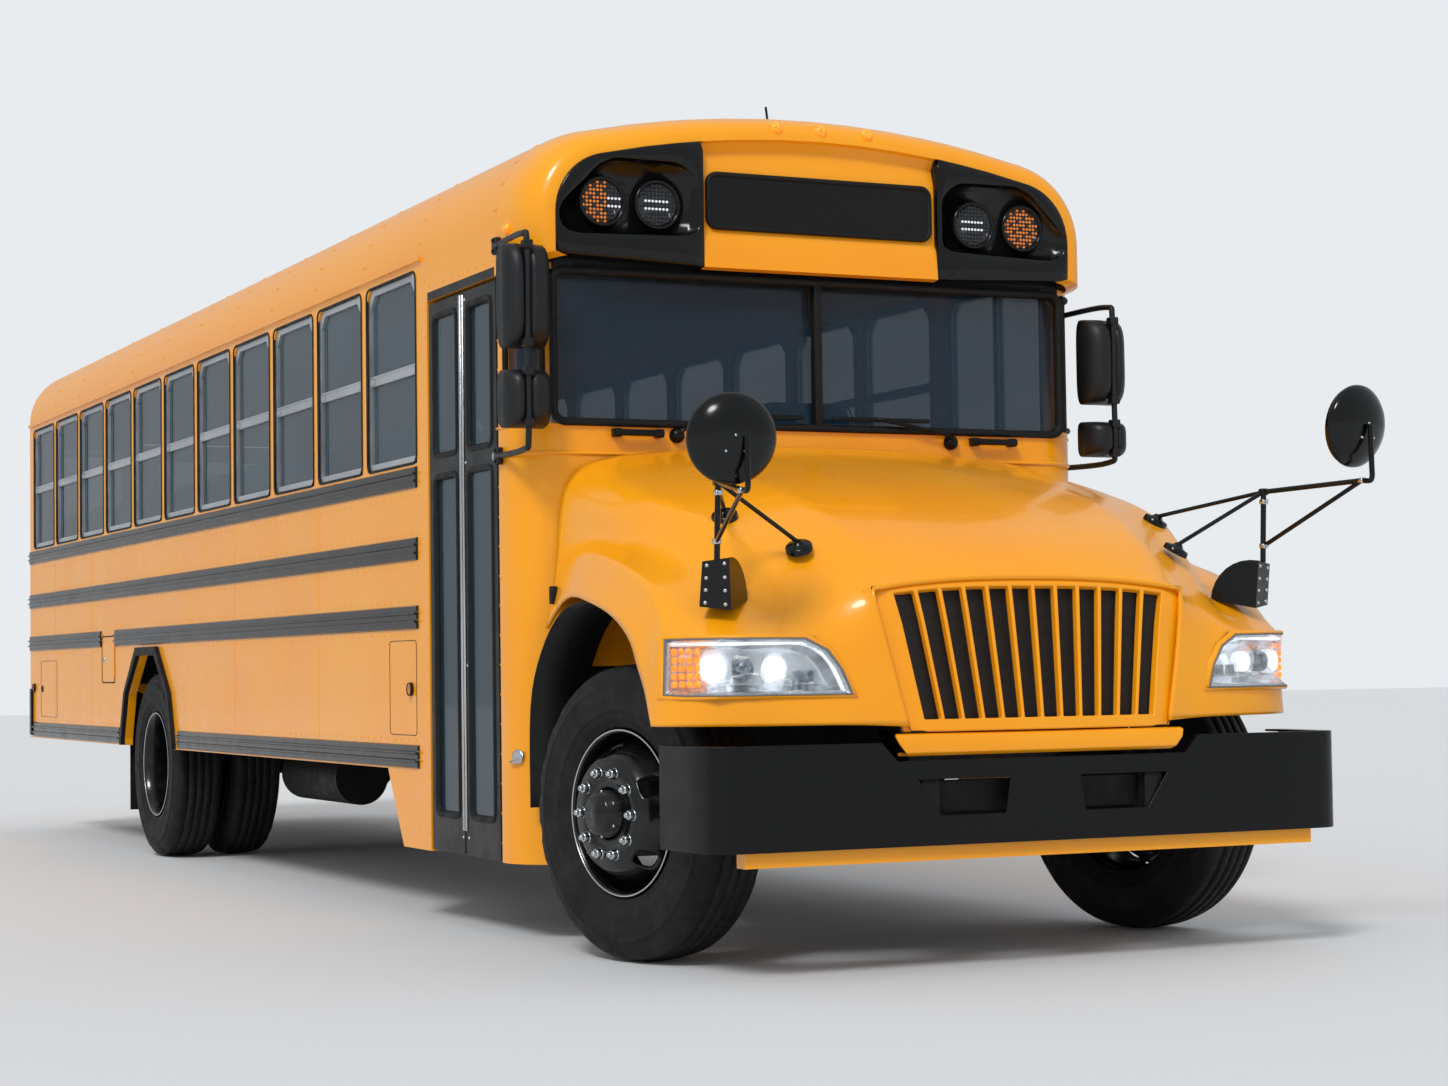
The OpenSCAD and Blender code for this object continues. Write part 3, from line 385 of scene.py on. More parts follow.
# ---------------------------------------------------------------- hood
# One moulding, bonnet and fenders together, laid up in glass fibre and painted: a raised
# centre that falls to the grille, lower shoulders, flared fenders, and a fold along each arch.
# Rows run from the cowl to the chin; columns run from the centre line to the arch's lip.
HOOD_ROWS = [
    # crown            crown's edge          inside fold           shoulder fold         shoulder
    # side             foot of the side      fender's crest        lip
    [(0, -3.69, 1.835), (.33, -3.69, 1.83), (.60, -3.69, 1.812), (.85, -3.69, 1.79), (1.0, -3.69, 1.755),
     (1.085, -3.69, 1.65), (1.10, -3.69, 1.42), (1.115, -3.69, 1.29), (1.15, -3.70, 1.15)],
    [(0, -3.95, 1.785), (.33, -3.95, 1.78), (.60, -3.95, 1.76), (.84, -3.95, 1.725), (1.01, -3.95, 1.69),
     (1.075, -3.95, 1.59), (1.085, -3.95, 1.46), (1.15, -3.95, 1.42), (1.19, -3.99, 1.276)],
    [(0, -4.2, 1.725), (.34, -4.2, 1.72), (.61, -4.2, 1.70), (.82, -4.2, 1.67), (1.02, -4.2, 1.625),
     (1.065, -4.2, 1.52), (1.08, -4.2, 1.44), (1.16, -4.2, 1.405), (1.22, -4.25, 1.235)],
    [(0, -4.5, 1.645), (.34, -4.5, 1.643), (.62, -4.5, 1.625), (.80, -4.5, 1.585), (.98, -4.5, 1.545),
     (1.03, -4.5, 1.43), (1.085, -4.5, 1.375), (1.175, -4.5, 1.35), (1.225, -4.48, 1.19)],
    [(0, -4.75, 1.56), (.32, -4.75, 1.558), (.60, -4.75, 1.54), (.745, -4.75, 1.485), (.89, -4.75, 1.44),
     (.965, -4.75, 1.315), (1.075, -4.75, 1.29), (1.18, -4.73, 1.272), (1.23, -4.66, 1.10)],
    [(0, -4.97, 1.46), (.31, -4.97, 1.46), (.565, -4.96, 1.44), (.70, -4.95, 1.375), (.80, -4.95, 1.325),
     (.90, -4.93, 1.205), (1.09, -4.88, 1.205), (1.185, -4.81, 1.195), (1.23, -4.70, 1.02)],
    [(0, -5.12, 1.365), (.31, -5.115, 1.362), (.565, -5.10, 1.33), (.675, -5.085, 1.262),
     (.76, -5.075, 1.20), (.89, -5.05, 1.125), (1.11, -4.98, 1.14), (1.20, -4.85, 1.135),
     (1.228, -4.735, .97)],
    [(0, -5.195, 1.286), (.31, -5.193, 1.283), (.602, -5.185, 1.252), (.69, -5.17, 1.15),
     (.80, -5.155, 1.095), (.93, -5.125, 1.095), (1.12, -5.06, 1.095), (1.213, -4.86, 1.095),
     (1.228, -4.77, .92)],
    [None, None, (.553, -5.218, 1.02), (.625, -5.205, .96), (.675, -5.20, .905),
     (.90, -5.15, .905), (1.12, -5.07, .905), (1.218, -4.87, .905), (1.228, -4.79, .87)],
    [None, None, (.502, -5.240, .80), (.60, -5.210, .805), (.70, -5.205, .81),
     (.90, -5.16, .81), (1.12, -5.075, .81), (1.222, -4.88, .81), (1.23, -4.82, .81)]]
LAMP_ROW = 7
LAMP_COLUMNS = (4, 5, 6)
HOOD_SKIN = 0.014
# how sharply each column is folded, from the cowl forward
FOLDS = {2: (.1, .3, .6, .75, .75, .45, 0), 3: (0, .1, .3, .5, .7, .7, .5), 4: (.2, .3, .4, .5, .5, .3, .2),
         5: (.2, .3, .4, .5, .5, .5, 0), 7: (.3, .5, .65, .65, .6, .6, .4)}


def hood_shell():
    bm = bmesh.new()
    crease = bm.edges.layers.float.new("crease_edge")
    corner = bm.verts.layers.float.new("crease_vert")
    grid = {}
    for side in (1, -1):
        for i, row in enumerate(HOOD_ROWS):
            for j, point in enumerate(row):
                if point and not (side < 0 and j == 0):
                    grid[i, j * side] = bm.verts.new((point[0] * side, point[1], point[2]))
    for i in range(len(HOOD_ROWS) - 1):
        for side in (1, -1):
            for j in range(8):
                corners = [(i, j * side), (i, (j + 1) * side), (i + 1, (j + 1) * side), (i + 1, j * side)]
                is_lamp = i == LAMP_ROW and j in LAMP_COLUMNS
                if not is_lamp and all(c in grid for c in corners):
                    bm.faces.new([grid[c] for c in (corners if side < 0 else reversed(corners))])
    for side in (1, -1):
        for j, values in FOLDS.items():
            for i, value in enumerate(values):
                bm.edges.get((grid[i, j * side], grid[i + 1, j * side]))[crease] = value
    for edge in bm.edges:
        if edge.is_boundary:
            edge[crease] = 1.0
    for side in (1, -1):
        for key in ((0, 8), (9, 8), (9, 2), (7, 2), (7, 4), (7, 7), (8, 4), (8, 7)):
            grid[key[0], key[1] * side][corner] = 1.0
    made = from_bm("hood_shell", bm, enamel, "hood")
    modify(made, "SUBSURF", levels=3, render_levels=3)
    modify(made, "SOLIDIFY", thickness=HOOD_SKIN, offset=-1)
    return made


hood = hood_shell()
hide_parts("hood")

# Black glass-fibre liners inside each arch, and the folded lip that stiffens the arch's edge.
LINER_ARC = [(-3.66, .50), (-3.67, .86), (-3.78, 1.06), (-3.98, 1.20), (-4.25, 1.23), (-4.50, 1.165),
             (-4.66, 1.05), (-4.74, .92), (-4.775, .84)]
for side, word in SIDES:
    route = smooth_route([(0, y, z) for y, z in LINER_ARC], 4)
    count = len(route)
    points = [(side * x, p.y, p.z) for x in (.985, 1.20) for p in route]
    quads = [(k, k + 1, count + k + 1, count + k) for k in range(count - 1)]
    liner = piece("wheel_liner_" + word, points, quads, moulded_rubber, "hood")
    modify(liner, "SOLIDIFY", thickness=.004, offset=0)


# ---------------------------------------------------------------- grille
# A moulded panel let into the nose inside a fine joint line: its bars are part of the moulding,
# with a black screen and the radiator's dark face behind them, and a chin lip below.
GRILLE_TOP, GRILLE_FOOT = 1.286, .782
BAR_COUNT = 11
SLOT_TOP, SLOT_FOOT = 1.256, .822


def grille_half(z):
    """Half-width of the panel at height z."""
    return .514 + (.622 - .514) * (z - GRILLE_FOOT) / (GRILLE_TOP - GRILLE_FOOT)


def grille_face(x, z):
    """The panel's face bows forward a little in plan and leans back towards its top."""
    return -5.246 + .018 * (x / .6) ** 2 + .056 * (z - GRILLE_FOOT) / (GRILLE_TOP - GRILLE_FOOT)


def grille_crown(x):
    """The panel's top edge falls away towards its corners."""
    return -.034 * (abs(x) / .6) ** 2.6


bm = bmesh.new()
slots = BAR_COUNT + 1
columns = [-1.0]
for k in range(slots):
    columns += [(-1 + 2 * k / slots) * .858 + .012, (-1 + 2 * (k + 1) / slots) * .858 - .012]
columns.append(1.0)
edge_rows = [GRILLE_TOP, SLOT_TOP, SLOT_TOP - .12, SLOT_TOP - .25, SLOT_FOOT, GRILLE_FOOT]
verts = {}
for i, z in enumerate(edge_rows):
    for j, c in enumerate(columns):
        x = c * grille_half(z)
        behind = .014 if i == 0 or abs(c) == 1 else 0
        verts[i, j] = bm.verts.new((x, grille_face(x, z) + behind, z + (grille_crown(x) if i < 2 else 0)))
for i in range(len(edge_rows) - 1):
    for j in range(len(columns) - 1):
        is_slot = 1 <= i < 4 and j % 2 == 1
        if not is_slot:
            bm.faces.new((verts[i, j], verts[i + 1, j], verts[i + 1, j + 1], verts[i, j + 1]))
panel = from_bm("grille_panel", bm, enamel, "hood")
modify(panel, "SOLIDIFY", thickness=.030, offset=-1)
soften(panel, .006, 3, 40)
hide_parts("grille")

# the chin below the panel, rolled back under it
bm = bmesh.new()
CHIN = [(.778, -5.226, .550), (.772, -5.242, .555), (.745, -5.250, .545), (.715, -5.248, .522),
        (.704, -5.232, .510), (.702, -5.160, .506)]
rows = [[bm.verts.new((c * half, y, z)) for c in (-1, -.97, -.5, 0, .5, .97, 1)] for z, y, half in CHIN]
skin(bm, rows)
chin = from_bm("grille_chin", bm, enamel, "hood")
modify(chin, "SOLIDIFY", thickness=.012, offset=-1)
soften(chin, .004)

# the fine joint line round the panel
bm = bmesh.new()
outline = []
for t in range(13):
    x = -.60 + 1.2 * t / 12
    outline.append((x, GRILLE_TOP + grille_crown(x)))
outline += [(.596, 1.225), (.506, .81), (.494, .784), (-.494, .784), (-.506, .81), (-.596, 1.225)]
loop = [Vector((x, grille_face(x, z) + .002, z)) for x, z in outline]
add_tube(bm, loop + [loop[0]], .0022, 6)
joint = from_bm("grille_joint_line", bm, moulded_rubber, "hood")

# black woven screen and the radiator behind the bars
screen, tree, shader = surface("black wire screen", "#08090A", Roughness=0.6)
weave = add(tree, "ShaderNodeTexBrick", {"offset": 0.0}, Vector=place(tree), Scale=1000 / 24,
            Mortar_Size=0.12, Color1=(0, 0, 0, 1), Color2=(0, 0, 0, 1), Mortar=(1, 1, 1, 1))
emboss(tree, shader, weave.outputs["Color"], 1.5)
bm = bmesh.new()
cells = [[bm.verts.new((c * grille_half(z) * .93, grille_face(0, z) + .042, z)) for c in (-1, 0, 1)]
         for z in (.80, 1.0, 1.262)]
skin(bm, cells)
backing = from_bm("grille_screen", bm, screen, "hood", smooth=False)
modify(backing, "SOLIDIFY", thickness=.003)


# ---------------------------------------------------------------- headlights
# Clear polycarbonate lenses over chromed bowls, with a light strip along the top, an amber
# turn signal at the outer end and a grey gasket round the opening in the fender.
clear_lens, tree, shader = surface("clear polycarbonate", "#F4F7F9", Roughness=0.03,
                                   Transmission_Weight=1.0, IOR=1.45, Alpha=0.30)
lens_chrome, tree, shader = surface("vapour-plated reflector", "#D9DEE2", Metallic=1.0, Roughness=0.16)
vary(tree, shader, "Roughness", 40, 0.10, 0.24)
grain(tree, shader, 14, 0.25)
lit_white, tree, shader = surface("lit white diodes", "#FFFFFF", Roughness=0.4,
                                  Emission_Color=srgb("#F3F8FF"), Emission_Strength=0.85)
vary(tree, shader, "Base Color", 12, srgb("#E9F1FA"), srgb("#FFFFFF"))
lit_amber, tree, shader = surface("lit amber diodes", "#F08A1C", Roughness=0.35,
                                  Emission_Color=srgb("#F5841A"), Emission_Strength=0.75)
vary(tree, shader, "Base Color", 14, srgb("#D9660C"), srgb("#FFB03A"))
lamp_shell, tree, shader = surface("smoked lamp moulding", "#5B6470", Roughness=0.12,
                                   Specular_IOR_Level=0.8, Coat_Weight=0.6)
vary(tree, shader, "Base Color", 18, srgb("#39414B"), srgb("#8E99A5"), 3)
seal_grey, tree, shader = surface("grey lamp gasket", "#6F747A", Roughness=0.45)
vary(tree, shader, "Roughness", 30, 0.38, 0.55)

# degrees by which each lamp is turned outboard
LAMP_TURN = 14.324
# corners of the opening, inner foot first, then round by the top to the outer foot
LAMP_EDGE = [(.690, -5.203, .908), (.722, -5.190, .99), (.765, -5.178, 1.050), (.835, -5.160, 1.088),
             (1.0, -5.118, 1.090), (1.10, -5.072, 1.090), (1.165, -4.975, 1.090), (1.205, -4.885, 1.090),
             (1.212, -4.885, .912), (1.17, -4.975, .908), (1.11, -5.075, .908), (1.0, -5.126, .908),
             (.90, -5.155, .908), (.80, -5.18, .908)]


def lamp_loop(side, shrink, back):
    """The opening's outline drawn in towards its middle and set back."""
    centre = Vector((.985, -5.07, 1.0))
    out = []
    for p in LAMP_EDGE:
        v = Vector(p)
        to = centre - v
        v = v + Vector((to.x * shrink, to.y * shrink, to.z * shrink * 1.9)) + Vector((-.25 * back, back, 0))
        out.append(Vector((v.x * side, v.y, v.z)))
    return out


for side, word in SIDES:
    bm = bmesh.new()
    ring_strip(bm, [[bm.verts.new(p) for p in lamp_loop(side, *at)]
                    for at in ((-.075, .014), (-.04, .001), (-.012, -.001), (-.008, .010))])
    flange = from_bm("headlight_flange_" + word, bm, enamel, "hood")
    bm = bmesh.new()
    ring_strip(bm, [[bm.verts.new(p) for p in lamp_loop(side, *at)]
                    for at in ((-.012, .008), (-.010, -.004), (.020, -.004), (.024, .010))])
    gasket = from_bm("headlight_gasket_" + word, bm, seal_grey, "hood")
    bm = bmesh.new()
    loops = [[bm.verts.new(p) for p in lamp_loop(side, *at)]
             for at in ((.018, .002), (.07, .004), (.12, .055), (.18, .085))]
    ring_strip(bm, loops)
    n = len(LAMP_EDGE)
    top = loops[-1]
    for k in range(n // 2 - 1):
        bm.faces.new((top[k], top[k + 1], top[n - 2 - k], top[n - 1 - k]))
    bowl = from_bm("headlight_bowl_" + word, bm, lens_chrome, "hood")
    soften(bowl, .004, 2, 40)
    if side < 0:
        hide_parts("headlights")
    # clear outer lens
    bm = bmesh.new()
    edge = [bm.verts.new(p) for p in lamp_loop(side, .016, -.002)]
    for k in range(n // 2 - 1):
        bm.faces.new((edge[k], edge[k + 1], edge[n - 2 - k], edge[n - 1 - k]))
    lens = from_bm("headlight_lens_" + word, bm, clear_lens, "hood")
    modify(lens, "SOLIDIFY", thickness=.003, offset=-1)
    # light strip along the top and down the inner end
    bm = bmesh.new()
    strip = lamp_loop(side, .085, .016)
    add_tube(bm, smooth_route(strip[:8], 4), .008, 8)
    strip_piece = from_bm("headlight_strip_" + word, bm, lit_white, "hood")
    # two lit lamps, a dark one between them and a square turn signal
    bm = bmesh.new()
    for x, y, r in ((.915, -5.092, .036), (1.092, -5.008, .042)):
        add_lathe(bm, [(-.03, r), (0, r), (.004, r * .93), (-.004, r * .86), (.012, r * .5), (.016, 0)], 28,
                  turned((side * x, y, .995), (side * LAMP_TURN, "Z"), (90, "X")))
    projectors = from_bm("headlight_projectors_" + word, bm, lit_white, "hood")
    bm = bmesh.new()
    add_lathe(bm, [(-.03, .036), (.004, .036), (.008, .033), (.004, .029), (.014, .024), (.022, .012),
                   (.024, 0)], 28,
              turned((side * 1.012, -5.058, .995), (side * LAMP_TURN, "Z"), (90, "X")))
    for x0 in (.80, .845):
        add_box(bm, (side * x0 - .016, -5.115, .950), (side * x0 + .016, -5.100, .985), .003, 1)
    eye = from_bm("headlight_centre_lamp_" + word, bm, lamp_shell, "hood")
    bm = bmesh.new()
    for k in range(4):
        for m in range(5):
            x, z = 1.140 + .015 * k, .945 + .026 * m
            y = -4.982 + (x - 1.140) * 1.75
            add_box(bm, (side * x - .0065, y - .02, z - .010), (side * x + .0065, y + .004, z + .010),
                    .003, 1)
    signal = from_bm("headlight_signal_" + word, bm, lit_amber, "hood")


# ---------------------------------------------------------------- front cap
# One glass-fibre moulding that closes the roof's front end: its outer edge rolls from the
# roof's section to an upright face, which holds the blank sign and the two lamp pods.
HALF_W, ROOF_H, CROWN_R, EAVE_R = 1.219, 3.125, 4.2, .35
CAP_REAR, CAP_REACH, CAP_INSET, CAP_Z0 = -3.42, .300, .118, 2.50
CAP_FACE = CAP_REAR - CAP_REACH
POD_X = .503


def section_half(inset, z0, extra=()):
    """Half of the body's section from its lower edge to the crown, as (x, z) points."""
    w, big, small = HALF_W - inset, CROWN_R - inset, EAVE_R - inset
    corner_x, centre_z = HALF_W - EAVE_R, ROOF_H - CROWN_R
    corner_z = centre_z + math.sqrt((CROWN_R - EAVE_R) ** 2 - corner_x ** 2)
    swing = math.pi / 2 - math.atan2(corner_x, corner_z - centre_z)
    points = [(w, z0), (w, z0 + (corner_z - z0) * .5)]
    points += [(corner_x + small * math.cos(swing * k / 12), corner_z + small * math.sin(swing * k / 12))
               for k in range(13)]
    for x in sorted([corner_x * .85, corner_x * .7, .34, .17, 0, *extra], reverse=True):
        points.append((x, centre_z + math.sqrt(big ** 2 - x ** 2)))
    return points


def section(inset, z0, extra=()):
    half = section_half(inset, z0, extra)
    return [(-x, z) for x, z in half] + [(x, z) for x, z in reversed(half[:-1])]


def cap_ring(angle):
    ahead = CAP_REACH * math.sin(angle) ** .8
    inset = CAP_INSET * (1 - max(0, math.cos(angle)) ** .8)
    return ahead, inset


bm = bmesh.new()
rings = []
for k in range(11):
    ahead, inset = cap_ring(math.pi / 2 * k / 10)
    lower = CAP_Z0 + .03 * (k / 10) ** 2
    rings.append([bm.verts.new((x, CAP_REAR - ahead, z)) for x, z in section(inset, lower, (POD_X,))])
for a, b in zip(rings, rings[1:]):
    for k in range(len(a) - 1):
        bm.faces.new((a[k], b[k], b[k + 1], a[k + 1]))
# rolled lower edge
for m in range(2):
    edge = [ring[0 if m == 0 else -1] for ring in rings]
    inner = [bm.verts.new((v.co.x * (1 - .05 / abs(v.co.x)), v.co.y + (.012 if k > 5 else 0),
                           v.co.z - .012))
             for k, v in enumerate(edge)]
    for k in range(len(edge) - 1):
        bm.faces.new((edge[k], edge[k + 1], inner[k + 1], inner[k]))
last = rings[-1]
centre_top = [v for v in last if abs(v.co.x) <= POD_X + 1e-4]
# height (below the edge where negative) and set-back of each row of the middle panel
PANEL_ROWS = [(-.006, .018), (-.040, .040), (2.90, .030), (2.87, .022), (2.64, .022), (2.615, .008),
              (2.60, .004), (2.500, -.006), (2.494, .03)]
previous = centre_top
for level, set_back in PANEL_ROWS:
    row = [bm.verts.new((v.co.x, CAP_FACE + set_back, v.co.z + level if level < 0 else level))
           for v in centre_top]
    for k in range(len(row) - 1):
        bm.faces.new((previous[k], row[k], row[k + 1], previous[k + 1]))
    previous = row
cap = from_bm("cap_shell", bm, enamel)
modify(cap, "SOLIDIFY", thickness=.005, offset=-1)
soften(cap, .004, 2, 35)
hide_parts("front_cap")

# header that closes the cap's underside above the windscreen, with a black painted face
bm = bmesh.new()
add_box(bm, (-1.09, -3.66, 2.466), (1.09, -3.60, 2.535), .004)
add_box(bm, (-1.15, -3.60, 2.495), (1.15, -3.40, 2.51), .003)
header = from_bm("windscreen_header", bm, satin_black, smooth=False)


# ---------------------------------------------------------------- lamp pods
# Gloss black hoods on each side of the sign, each a moulding with a sunken floor for two lamps.
POD_FLOOR = CAP_FACE + .040
POD_MIDDLE = Vector((.80, 2.74))
POD_STEPS = 64
RECESS = [(.525, 2.615), (1.048, 2.60), (1.088, 2.636), (1.090, 2.70), (.99, 2.798), (.928, 2.86),
          (.866, 2.888), (.595, 2.886), (.527, 2.828)]


def walk(outline):
    """Points of an outline at even angles round the pod's middle."""
    got = []
    for k in range(POD_STEPS):
        angle = math.tau * k / POD_STEPS
        ray = Vector((math.cos(angle), math.sin(angle)))
        reached = []
        for j in range(len(outline)):
            start = Vector(outline[j]) - POD_MIDDLE
            along = Vector(outline[(j + 1) % len(outline)]) - Vector(outline[j])
            cross = ray.x * along.y - ray.y * along.x
            if abs(cross) < 1e-9:
                continue
            reach = (start.x * along.y - start.y * along.x) / cross
            share = (start.x * ray.y - start.y * ray.x) / cross
            if reach > 0 and -1e-6 <= share <= 1 + 1e-6:
                reached.append(reach)
        got.append(POD_MIDDLE + ray * min(reached))
    return got


for side, word in SIDES:
    edge = [(x, z) for x, z in section_half(CAP_INSET, 2.522, (POD_X,)) if x >= POD_X - 1e-6]
    outer = [(POD_X, 2.500), (1.098, 2.522)] + edge[1:]
    bm = bmesh.new()
    out_ring, in_ring = walk(outer), walk(RECESS)
    smooth_in = [(in_ring[k - 1] + in_ring[k] * 2 + in_ring[(k + 1) % POD_STEPS]) / 4
                 for k in range(POD_STEPS)]
    loops = []
    for ring, grow, y in ((out_ring, 1.0, CAP_FACE + .020), (out_ring, 1.0, CAP_FACE - .004),
                          (out_ring, .985, CAP_FACE - .009), (smooth_in, 1.03, CAP_FACE - .009),
                          (smooth_in, 1.0, CAP_FACE - .004), (smooth_in, .97, POD_FLOOR)):
        grown = [(POD_MIDDLE.x + (p.x - POD_MIDDLE.x) * grow, POD_MIDDLE.y + (p.y - POD_MIDDLE.y) * grow)
                 for p in ring]
        loops.append([bm.verts.new((side * x, y, z)) for x, z in grown])
    ring_strip(bm, loops)
    bm.faces.new(loops[-1])
    pod = from_bm("lamp_pod_" + word, bm, gloss_black)
    if side < 0:
        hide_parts("lamp_pods")

# Round sealed lamps: a black bezel, a clear domed lens, and rows of diodes behind it.
LAMP_XS, LAMP_Z, LAMP_R, DIODE_PITCH = (.682, .905), 2.728, .086, .0145
bezels, lenses, whites, ambers, darks = (bmesh.new() for _ in range(5))
for side in (-1, 1):
    for x in LAMP_XS:
        axis = turned((side * x, POD_FLOOR, LAMP_Z), (90, "X"))
        add_lathe(bezels, [(0, LAMP_R + .010), (.020, LAMP_R + .008), (.026, LAMP_R), (.018, LAMP_R - .006),
                           (.004, LAMP_R - .008), (.004, 0)], 40, axis)
        add_lathe(lenses, [(.018, LAMP_R - .006), (.026, LAMP_R * .8), (.031, LAMP_R * .5), (.033, 0)],
                  40, axis)
        for row in range(-5, 6):
            for column in range(-5, 6):
                px, pz = column * DIODE_PITCH, row * DIODE_PITCH
                if math.hypot(px, pz) > LAMP_R * .86:
                    continue
                outboard = x > .8
                if outboard:
                    target = darks if (row + 2 * column) % 5 == 0 else ambers
                    if side < 0 and px * side < -.020:
                        target = whites if row in (-1, 1) else darks
                else:
                    target = whites if row in (-1, 1) and abs(column) < 4 else darks
                spot = turned((side * x + px, POD_FLOOR - .006, LAMP_Z + pz), (90, "X"))
                add_lathe(target, [(0, .0052), (.004, .0044), (.006, 0)], 7, spot)
smoked, tree, shader = surface("smoked acrylic lens", "#2A2D33", Roughness=0.05, Alpha=0.35,
                               Coat_Weight=0.5)
vary(tree, shader, "Roughness", 20, 0.04, 0.09)
unlit, tree, shader = surface("unlit diodes", "#3B3F46", Roughness=0.25, Metallic=0.3)
vary(tree, shader, "Base Color", 9, srgb("#2B2E33"), srgb("#5A6069"))
for name, bm, finish, slot in (("warning_lamp_bezels", bezels, gloss_black, "black_plastic"),
                               ("warning_lamp_lenses", lenses, smoked, "lamp_lens"),
                               ("warning_diodes_white", whites, lit_white, "headlamp"),
                               ("warning_diodes_amber", ambers, lit_amber, "lamp_lens"),
                               ("warning_diodes_unlit", darks, unlit, "black_plastic")):
    made = from_bm(name, bm, finish, smooth=name.endswith(("bezels", "lenses")))
    if name.endswith("bezels"):
        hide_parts("body_lamps")

# Three small amber clearance lamps on the brow, and one on each side of the cap.
bm = bmesh.new()
for x in (-.19, 0, .20):
    axis = turned((x, CAP_FACE + .008, 3.052), (72, "X"))
    add_lathe(bm, [(-.004, .024), (.006, .022), (.013, .015), (.016, 0)], 18, axis)
for side in (-1, 1):
    axis = turned((side * 1.214, -3.53, 2.634), (side * 90, "Y"))
    add_lathe(bm, [(-.004, .020), (.010, .019), (.020, .012), (.023, 0)], 18, axis)
clearance = from_bm("clearance_lamps", bm, lit_amber)


# ---------------------------------------------------------------- sign
# The blank route sign: a gloss black panel in a rounded rubber frame, sunk in the cap's face.
SIGN_Z = 2.757
bm = bmesh.new()
loops = []
for grow, y in ((0, .024), (0, .010), (-.006, .004), (-.014, .004), (-.020, .012), (-.020, .018)):
    loops.append([bm.verts.new((x, CAP_FACE + y, SIGN_Z + z))
                  for x, z in rounded_box(.486 + grow, .110 + grow, .045 + grow)])
ring_strip(bm, loops)
sign_frame = from_bm("sign_frame", bm, moulded_rubber)
bm = bmesh.new()
bm.faces.new([bm.verts.new((x, CAP_FACE + .016, SIGN_Z + z)) for x, z in rounded_box(.470, .094, .03)])
sign = from_bm("sign_panel", bm, gloss_black, smooth=False)
modify(sign, "SOLIDIFY", thickness=.004, offset=1)


# ---------------------------------------------------------------- windscreen
# Two flat tinted panes in a moulded black rubber gasket, with a slim centre post, and a curved
# pane round each corner of the cowl.  Grab handles and two wipers stand on the ledge below.
windscreen_glass, tree, shader = surface("tinted laminated glass", "#163246", Roughness=0.03, Alpha=0.44,
                                         Specular_IOR_Level=0.5)
vary(tree, shader, "Roughness", 500, 0.02, 0.05)
vary(tree, shader, "Alpha", 1500, 0.42, 0.50)
side_glass, tree, shader = surface("tinted tempered glass", "#2A4350", Roughness=0.04, Alpha=0.60,
                                   Specular_IOR_Level=0.6, Coat_Weight=0.2)
vary(tree, shader, "Roughness", 400, 0.04, 0.08)
vary(tree, shader, "Base Color", 1400, srgb("#253D4A"), srgb("#365260"))
repaint("windscreen", windscreen_glass)
repaint("window_glass", side_glass)
bright_steel, tree, shader = surface("bright plated steel", "#C9CDD1", Roughness=0.22, Metallic=1.0)
vary(tree, shader, "Roughness", 25, 0.18, 0.3)
grain(tree, shader, 8, 0.03)

FRONT = -3.66
bm = bmesh.new()
loops = []
for grow, y in ((.012, -.001), (.010, -.012), (-.006, -.014), (-.018, -.006), (-.020, .016)):
    loops.append([bm.verts.new((x, FRONT + y, 2.191 + z))
                  for x, z in rounded_box(1.096 + grow, .284 + grow, .05 + grow)])
ring_strip(bm, loops)
add_box(bm, (-.016, FRONT - .012, 1.912), (.016, FRONT + .030, 2.470), .005)
gasket = from_bm("windscreen_gasket", bm, moulded_rubber)

CORNER_X, CORNER_Y, CORNER_R = 1.009, -3.45, .2115
bm = bmesh.new()
for side in (-1, 1):
    arc = [math.radians(11 + 46 * k / 10) for k in range(11)]
    base = [(side * (CORNER_X + CORNER_R * math.cos(a)), CORNER_Y - CORNER_R * math.sin(a)) for a in arc]
    for z in (1.937, 2.468):
        add_tube(bm, [(x, y, z) for x, y in base], .011, 8)
    for x, y in (base[0], base[-1]):
        add_tube(bm, [(x, y, 1.930), (x, y, 2.475)], .012, 8)
frames = from_bm("corner_window_gaskets", bm, moulded_rubber)

bm = bmesh.new()
quarter = [math.radians(90 * k / 8) for k in range(9)]
for z, radius in ((1.900, .007), (1.795, .009)):
    right = [(-CORNER_X - .209 * math.cos(a), CORNER_Y - .209 * math.sin(a), z) for a in quarter]
    left = [(-x, y, height) for x, y, height in reversed(right)]
    add_tube(bm, [(-CORNER_X - .209, -3.405, z)] + right + left + [(CORNER_X + .209, -3.405, z)], radius, 8)
beads = from_bm("cowl_beads", bm, enamel)

bm = bmesh.new()
HANDLE_IN, HANDLE_OUT = .665, .865
for side in (-1, 1):
    x0, x1 = sorted((side * HANDLE_IN, side * HANDLE_OUT))
    add_box(bm, (x0, FRONT - .046, 1.860), (x1, FRONT - .026, 1.884), .006, 2)
    for x in (x0, x1 - .030):
        add_box(bm, (x, FRONT - .040, 1.856), (x + .030, FRONT + .003, 1.888), .005, 2)
